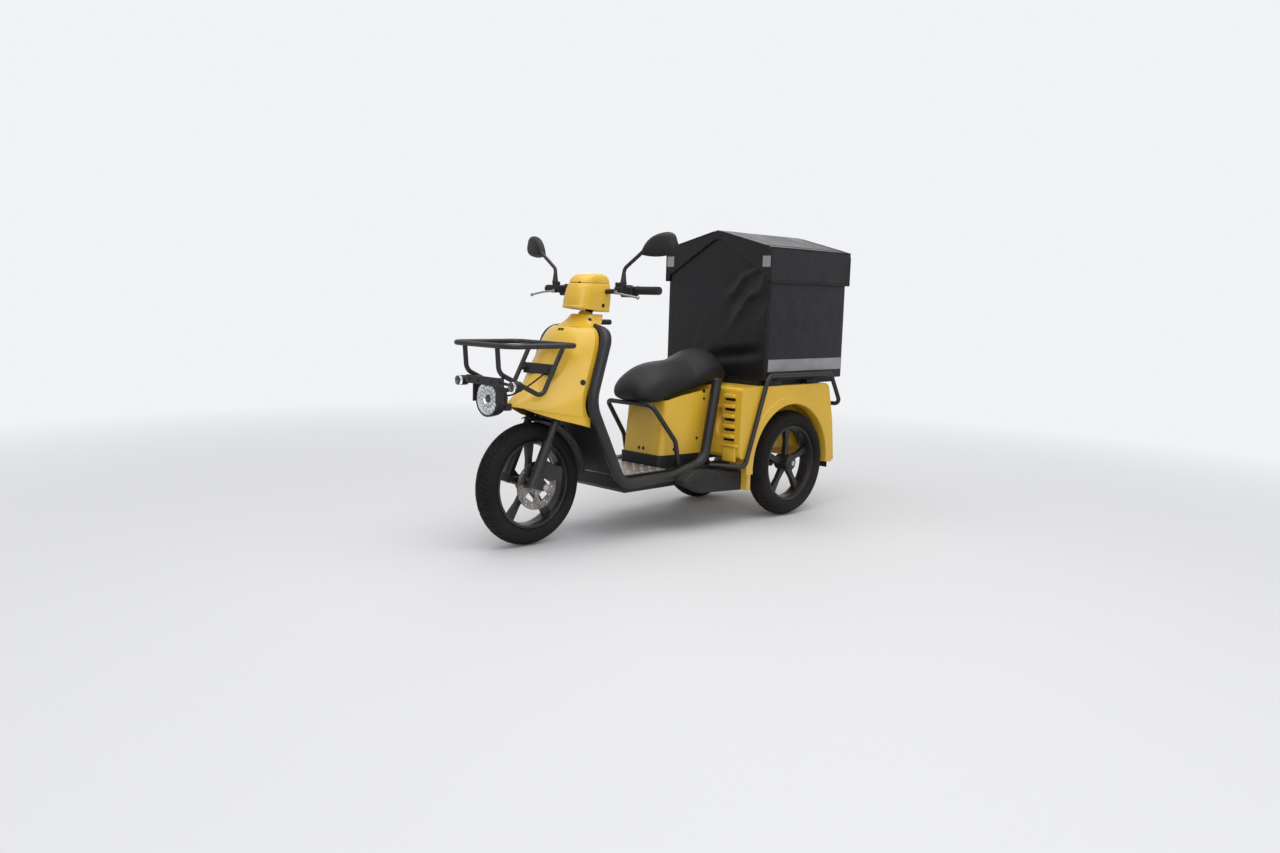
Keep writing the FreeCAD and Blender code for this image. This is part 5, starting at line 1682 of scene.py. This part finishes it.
@dataclass
class FrameTubes:
    """Smoothly bent side tubes of the frame, with the steering head and cross tubes."""

    half: float = 0.210
    radius: float = 0.024
    cross_radius: float = 0.018
    branch_radius: float = 0.017
    head_below_bar: float = 0.503
    head_length: float = 0.330
    head_radius: float = 0.0280
    head_bore: float = 0.0173
    path: tuple = (
        # left, behind the front axle, height, radius of the bend
        (0.030, 0.298, 0.936, 0.0), (0.198, 0.262, 0.912, 0.062), (0.210, 0.163, 0.620, 0.150),
        (0.210, 0.355, 0.250, 0.105), (0.210, 0.686, 0.258, 0.400), (0.210, 0.892, 0.306, 0.095),
        (0.210, 0.968, 0.690, 0.0),
    )
    crosses: tuple = ((0.470, 0.250), (0.666, 0.258), (0.939, 0.264))

    def build(self) -> None:
        """Build the side tubes with their end caps, the cross tubes and the hollow steering head."""
        shape = Shape("frame_tubes")
        shape.tube([(x, FRONT_Y + y, z, bend) for x, y, z, bend in self.path], self.radius, 10, 24)
        shape.rod((self.half, FRONT_Y + 0.968, 0.689), (self.half, FRONT_Y + 0.970, 0.699),
                  0.0265, 0.0245, 24)
        shape.mirrored()
        for y, z in self.crosses:
            shape.rod((-self.half, FRONT_Y + y, z), (self.half, FRONT_Y + y, z), self.cross_radius,
                      sides=20)
        for side in (-1, 1):
            shape.rod((side * self.half, FRONT_Y + 0.850, 0.284), (side * 0.196, FRONT_Y + 0.939, 0.264),
                      self.branch_radius)
        place = Matrix.Translation(BAR - STEERING_AXIS * self.head_below_bar) @ STEERING_TURN
        shape.lathe([(0.0, self.head_bore), (0.0, self.head_radius), (self.head_length, self.head_radius),
                     (self.head_length, self.head_bore), (0.0, self.head_bore)], 36, place)
        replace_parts(shape.done(Body.CHASSIS, Slot.FRAME, TUBE_BLACK), "main_frame")


@dataclass
class RearTrim:
    """Wheel arch edges, wheel housing fronts, louvre ribs and ledges of the rear body."""

    face: float = REAR_Y - 0.428
    middle: float = REAR_Y - 0.024
    inner: float = 0.301
    outer: float = 0.349
    lip: float = 0.004
    proud: float = 0.3450
    louvres: int = 5
    lowest: float = 0.404
    pitch: float = 0.048

    def arc(self, radius: float, x: float, start: float, end: float, steps: int = 36) -> list[Vector]:
        """Points round the wheel arch.

        Args:
            radius: The arc's radius.
            x: Distance from the middle plane.
            start: First angle in degrees from the rear.
            end: Last angle.
            steps: Steps of the arc.

        Returns:
            The points.
        """
        turns = [math.radians(start + (end - start) * step / steps) for step in range(steps + 1)]
        return [Vector((x, self.middle + radius * math.cos(a),
                        AXLE_Z + radius * math.sin(a))) for a in turns]

    def build(self) -> None:
        """Build the yellow trim and the black plates in the louvre slots, which are painted shade."""
        shape = Shape("arch_edges")
        section = (
            # radius round the wheel, distance from the middle plane
            (self.inner, 0.290), (self.inner, 0.3405), (self.inner + self.lip, self.proud),
            (self.outer - 0.005, self.proud), (self.outer, 0.3403), (self.outer, 0.3375),
            (self.inner + self.lip, 0.3365), (self.inner + self.lip, 0.290),
        )
        arcs = [self.arc(radius, x, -3.0, 184.0) for radius, x in section]
        shape.loft([list(ring) for ring in zip(*arcs)])
        shape.brick((0.2135, self.middle - 0.328, 0.163), (0.3355, self.middle - 0.302, 0.455), 0.008, 3)
        shape.mirrored()
        shape.done(Body.CHASSIS, Slot.YELLOW, YELLOW, 40.0)
        ribs = Shape("louvre_ribs")
        # Black plates sunk in the louvre slots are painted shade: they darken the slots where shade falls.
        slot_shade_plates = Shape("louvre_shadows")
        for row in range(self.louvres):
            low = self.lowest + row * self.pitch
            ribs.brick((0.2385, self.face - 0.018, low + 0.0155), (0.3085, self.face + 0.001, low + 0.0335),
                       0.0045, 3)
            slot_shade_plates.brick((0.2365, self.face + 0.008, low + 0.0005),
                        (0.3035, self.face + 0.012, low + 0.0145))
        ribs.brick((0.2360, self.face - 0.015, 0.378), (0.3300, self.face + 0.001, 0.392), 0.005, 3)
        ribs.brick((0.2380, self.face - 0.009, 0.306), (0.3200, self.face + 0.001, 0.379), 0.007, 3)
        ribs.mirrored()
        ribs.done(Body.CHASSIS, Slot.YELLOW, YELLOW, 40.0)
        slot_shade_plates.mirrored()
        slot_shade_plates.done(Body.CHASSIS, Slot.PLASTIC, PLASTIC_BLACK)


@dataclass
class ShieldTrim:
    """Lower skirt of the leg shield and the collar round the steering head."""

    wall: float = 0.0036
    collar_below_bar: float = 0.155
    flank: tuple = (
        # left, behind the front axle, height of the upper and of the lower edge
        (0.1838, 0.1855, 0.5560, 0.5130), (0.1838, 0.1450, 0.5620, 0.5250),
        (0.1270, 0.0530, 0.5760, 0.5500), (0.0750, -0.0300, 0.5900, 0.5790),
        (0.0540, -0.0640, 0.5960, 0.5930),
    )
    collar: tuple = (
        # along the steering axis, radius
        (0.0, 0.0310), (0.0, 0.0460), (0.026, 0.0430), (0.040, 0.0400), (0.044, 0.0370), (0.044, 0.0310),
        (0.0, 0.0310),
    )

    def build(self) -> None:
        """Build the skirt and the collar."""
        skirt = Shape("shield_skirt")
        wall = Vector((self.wall, 0.0, 0.0))
        rings = []
        for x, y, high, low in self.flank:
            outer_high, outer_low = Vector((x, FRONT_Y + y, high)), Vector((x, FRONT_Y + y, low))
            rings.append([outer_high, outer_low, outer_low - wall, outer_high - wall])
        skirt.loft(rings)
        skirt.mirrored()
        skirt.done(Body.CHASSIS, Slot.YELLOW, YELLOW)
        collar = Shape("steering_collar")
        place = Matrix.Translation(BAR - STEERING_AXIS * self.collar_below_bar) @ STEERING_TURN
        collar.lathe(list(self.collar), 40, place)
        collar.done(Body.CHASSIS, Slot.YELLOW, YELLOW)


@dataclass
class Footboard:
    """Raised lozenges of the chequer plates."""

    half: float = 0.172
    top: float = 0.290
    pitch: float = 0.0255
    boards: tuple = ((-0.4285, -0.2766), (-0.2726, -0.1185))

    def build(self) -> None:
        """Build the lozenges of both boards."""
        shape = Shape("chequer_lozenges")
        for start, end in self.boards:
            rows = int((end - start) / self.pitch)
            gap = (end - start) / rows
            for row in range(rows):
                count = int(2 * self.half / self.pitch)
                for column in range(count + 1):
                    x = -self.half + 2 * self.half * column / count
                    y = start + gap * (row + 0.5)
                    turn = Matrix.Rotation(math.radians(45 if (row + column) % 2 else -45), 4, "Z")
                    shape.ball((x, y, self.top), (0.0105, 0.0034, 0.0016), turn, 8, 6)
        shape.done(Body.CHASSIS, Slot.PLATE, PLATE)


@dataclass
class Grips:
    """Moulded rings of the two handlebar grips."""

    rings: int = 13

    def build(self) -> None:
        """Build the rings on both grips."""
        shape = Shape("grip_rings")
        start, end = Vector((0.246, 0.0188, 0.0083)), Vector((0.369, 0.0244, 0.0091))
        for ring in range(self.rings):
            share = 0.08 + 0.86 * ring / (self.rings - 1)
            middle = BAR + start.lerp(end, share)
            axis = (end - start).normalized()
            turn = axis.to_track_quat("X", "Z").to_matrix().to_4x4()
            bead = [(-0.0022, 0.0162), (-0.0012, 0.0177), (0.0012, 0.0177), (0.0022, 0.0162)]
            shape.lathe(bead, 28, Matrix.Translation(middle) @ turn)
        shape.mirrored()
        shape.done(Body.STEERING, Slot.GRIP, GRIP_RUBBER)


@dataclass
class Controls:
    """Brake fluid boxes and switch buttons beside the grips, placed from the handlebar's middle."""

    fluid_box: tuple[Point, Point] = ((0.186, -0.064, 0.0235), (0.220, -0.050, 0.040))
    cover: tuple[Point, Point] = ((0.172, -0.012, 0.0255), (0.206, 0.026, 0.031))
    button: Point = (0.006, 0.0055, 0.005)
    button_y: float = 0.033
    button_spots: tuple = ((0.182, 0.006), (0.200, 0.010), (0.218, 0.004), (0.200, -0.010))
    screw_spots: tuple = ((0.190, -0.0605), (0.216, -0.0605))
    screw_radius: float = 0.0026

    def build(self) -> None:
        """Build the controls of both sides."""
        shape = Shape("control_details")
        for (low, high), soft in ((self.fluid_box, 0.004), (self.cover, 0.002)):
            shape.brick(BAR + Vector(low), BAR + Vector(high), soft)
        half, length, rise = self.button
        for x, z in self.button_spots:
            shape.brick(BAR + Vector((x - half, self.button_y, z - rise)),
                        BAR + Vector((x + half, self.button_y + length, z + rise)), 0.002)
        for x, y in self.screw_spots:
            foot, head = BAR + Vector((x, y, 0.0395)), BAR + Vector((x, y, 0.0412))
            shape.rod(foot, head, self.screw_radius, sides=12)
        shape.mirrored()
        shape.done(Body.STEERING, Slot.PLASTIC, PLASTIC_BLACK)


@dataclass
class SmallParts:
    """Rack knobs, lamp cable, mud flaps and the feet below the box."""

    knobs: tuple[float, ...] = (-0.088, 0.088)
    knob_z: float = 0.757
    bolts: tuple[float, ...] = (-0.105, -0.045, 0.045, 0.105)
    bolt_z: float = 0.7155
    lead: tuple[Point, ...] = (
        (0.0, -0.924, 0.650), (0.030, -0.905, 0.650), (0.052, -0.880, 0.668), (0.066, -0.840, 0.690),
        (0.062, -0.790, 0.716), (0.050, -0.745, 0.735), (0.046, -0.7335, 0.741),
    )
    lead_radius: float = 0.0038
    flap: tuple[Point, Point] = ((0.232, 0.9445, 0.218), (0.334, 0.9500, 0.2465))
    feet: tuple[float, ...] = (0.4655, 0.7635)
    foot_length: float = 0.040

    def build(self) -> None:
        """Build the small black parts of the frame."""
        self.rack_knobs()
        lead = Shape("lamp_lead")
        lead.pipe(list(self.lead), self.lead_radius)
        lead.done(Body.CHASSIS, Slot.PLASTIC, PLASTIC_BLACK)
        flaps = Shape("mud_flaps")
        flaps.brick(*self.flap, 0.0015, 1)
        flaps.mirrored()
        flaps.done(Body.CHASSIS, Slot.GRIP, GRIP_RUBBER)
        self.box_feet()

    def rack_knobs(self) -> None:
        """Build the rack's knobs and the bolts of its front rail."""
        shape = Shape("rack_knobs")
        for x in self.knobs:
            shape.rod((x, -0.7325, self.knob_z), (x, -0.7455, self.knob_z), 0.0125, 0.0105, 20)
            shape.rod((x, -0.7455, self.knob_z), (x, -0.7485, self.knob_z), 0.006, 0.005, 6)
        for x in self.bolts:
            shape.rod((x, -1.0122, self.bolt_z), (x, -1.0155, self.bolt_z), 0.0062, 0.0055, 6)
        shape.done(Body.CHASSIS, Slot.PLASTIC, PLASTIC_BLACK)

    def box_feet(self) -> None:
        """Build the feet that hold the box to its tray, each with a bolt."""
        shape = Shape("box_feet")
        for y in self.feet:
            shape.brick((0.3345, y, 0.6655), (0.3385, y + self.foot_length, 0.685), 0.0015, 1)
            middle = y + self.foot_length / 2
            shape.rod((0.3380, middle, 0.675), (0.3405, middle, 0.675), 0.007, 0.006, 6)
        shape.mirrored()
        shape.done(Body.CHASSIS, Slot.PLASTIC, PLASTIC_BLACK)


@dataclass(frozen=True)
class Spot:
    """Place of a screw: its pixel in the photograph, found again on its panel."""

    panel: str
    across: float
    down: float
    radius: float
    both_sides: bool = True


@dataclass
class Screws:
    """Screws of the mouldings, each set on the panel that carries it."""

    camera: PhotoCamera
    spots: tuple[Spot, ...] = (
        Spot("seat_body", across=704.0, down=391.0, radius=0.0065),
        Spot("seat_body", across=704.0, down=398.4, radius=0.0050),
        Spot("seat_body", across=696.6, down=438.0, radius=0.0055),
        Spot("seat_body", across=639.0, down=447.3, radius=0.0060),
        Spot("seat_body", across=673.8, down=449.4, radius=0.0060),
        Spot("rear_body", across=725.6, down=439.5, radius=0.0075),
        Spot("leg_shield", across=583.0, down=382.5, radius=0.0090),
        Spot("leg_shield", across=559.5, down=329.0, radius=0.0060),
        Spot("neck", across=590.0, down=319.5, radius=0.0065),
        Spot("cowl_front", across=603.2, down=305.5, radius=0.0065),
        Spot("cowl_top", across=579.8, down=282.6, radius=0.0050, both_sides=False),
        Spot("footrest_pods", across=694.3, down=481.7, radius=0.0050),
        Spot("footrest_pods", across=715.6, down=478.8, radius=0.0050),
    )

    def build(self) -> None:
        """Build each screw on its panel."""
        bpy.context.view_layer.update()
        graph = bpy.context.evaluated_depsgraph_get()
        trees = {name: BVHTree.FromObject(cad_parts.get(name) or bpy.data.objects[name], graph)
                 for name in {spot.panel for spot in self.spots}}
        shapes = {Body.CHASSIS: Shape("panel_screws"), Body.STEERING: Shape("cowl_screws")}
        eye = Vector(self.camera.place)
        for spot in self.spots:
            ray = self.camera.ray(spot.across, spot.down)
            place, normal, _, _ = trees[spot.panel].ray_cast(eye, ray)
            if place is None:
                log.warning("no place for a screw on %s at %.0f, %.0f", spot.panel, spot.across, spot.down)
                continue
            body = Body.STEERING if spot.panel.startswith("cowl") else Body.CHASSIS
            self.screw(shapes[body], place, normal, spot.radius)
            if spot.both_sides:
                flip = Vector((-1, 1, 1))
                self.screw(shapes[body], place * flip, normal * flip, spot.radius)
        for body, shape in shapes.items():
            shape.done(body, Slot.PLASTIC, PLASTIC_BLACK)

    def screw(self, shape: Shape, place: Vector, normal: Vector, radius: float) -> None:
        """Add one socket screw with its washer.

        Args:
            shape: The piece that it joins.
            place: Its place on the panel.
            normal: The panel's direction.
            radius: The head's radius.
        """
        shape.rod(place - normal * 0.002, place + normal * 0.0007, radius * 1.35, sides=18)
        head = shape.rod(place, place + normal * 0.0026, radius, radius * 0.88, 16)
        top = max({face for vert in head for face in vert.link_faces},
                  key=lambda face: (face.calc_center_median() - place).dot(normal))
        bmesh.ops.inset_region(shape.mesh, faces=[top], thickness=radius * 0.42, depth=0.0)
        bmesh.ops.inset_region(shape.mesh, faces=[top], thickness=radius * 0.04, depth=-0.0018)


def dress_nodes() -> None:
    """Give every CAD node its finish."""
    for name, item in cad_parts.items():
        item.data.materials.clear()
        item.data.materials.append(NODE_FINISH[name].material())


def main() -> None:
    """Build the studio and every piece in order."""
    logging.basicConfig(level=logging.INFO, format="%(name)s: %(message)s")
    camera = PhotoCamera()
    camera.build()
    Studio().build()
    dress_nodes()
    tyres = (Tyre("front_tyre", Body.FRONT_WHEEL, 0.0, FRONT_Y, 0.100),
             Tyre("rear_tyre_left", Body.REAR_LEFT, REAR_X, REAR_Y, 0.110),
             Tyre("rear_tyre_right", Body.REAR_RIGHT, -REAR_X, REAR_Y, 0.110))
    for part in (*tyres, WheelFittings(), Saddle(), FabricBox(), FabricLid(), Headlamp(), Mirrors(), Cowl(),
                 Mudguard(), FrameTubes(), RearTrim(), ShieldTrim(), Footboard(), Grips(), Controls(),
                 SmallParts(), Screws(camera)):
        log.info("building %s", type(part).__name__)
        part.build()
    bpy.context.view_layer.update()


if __name__ == "__main__":
    main()
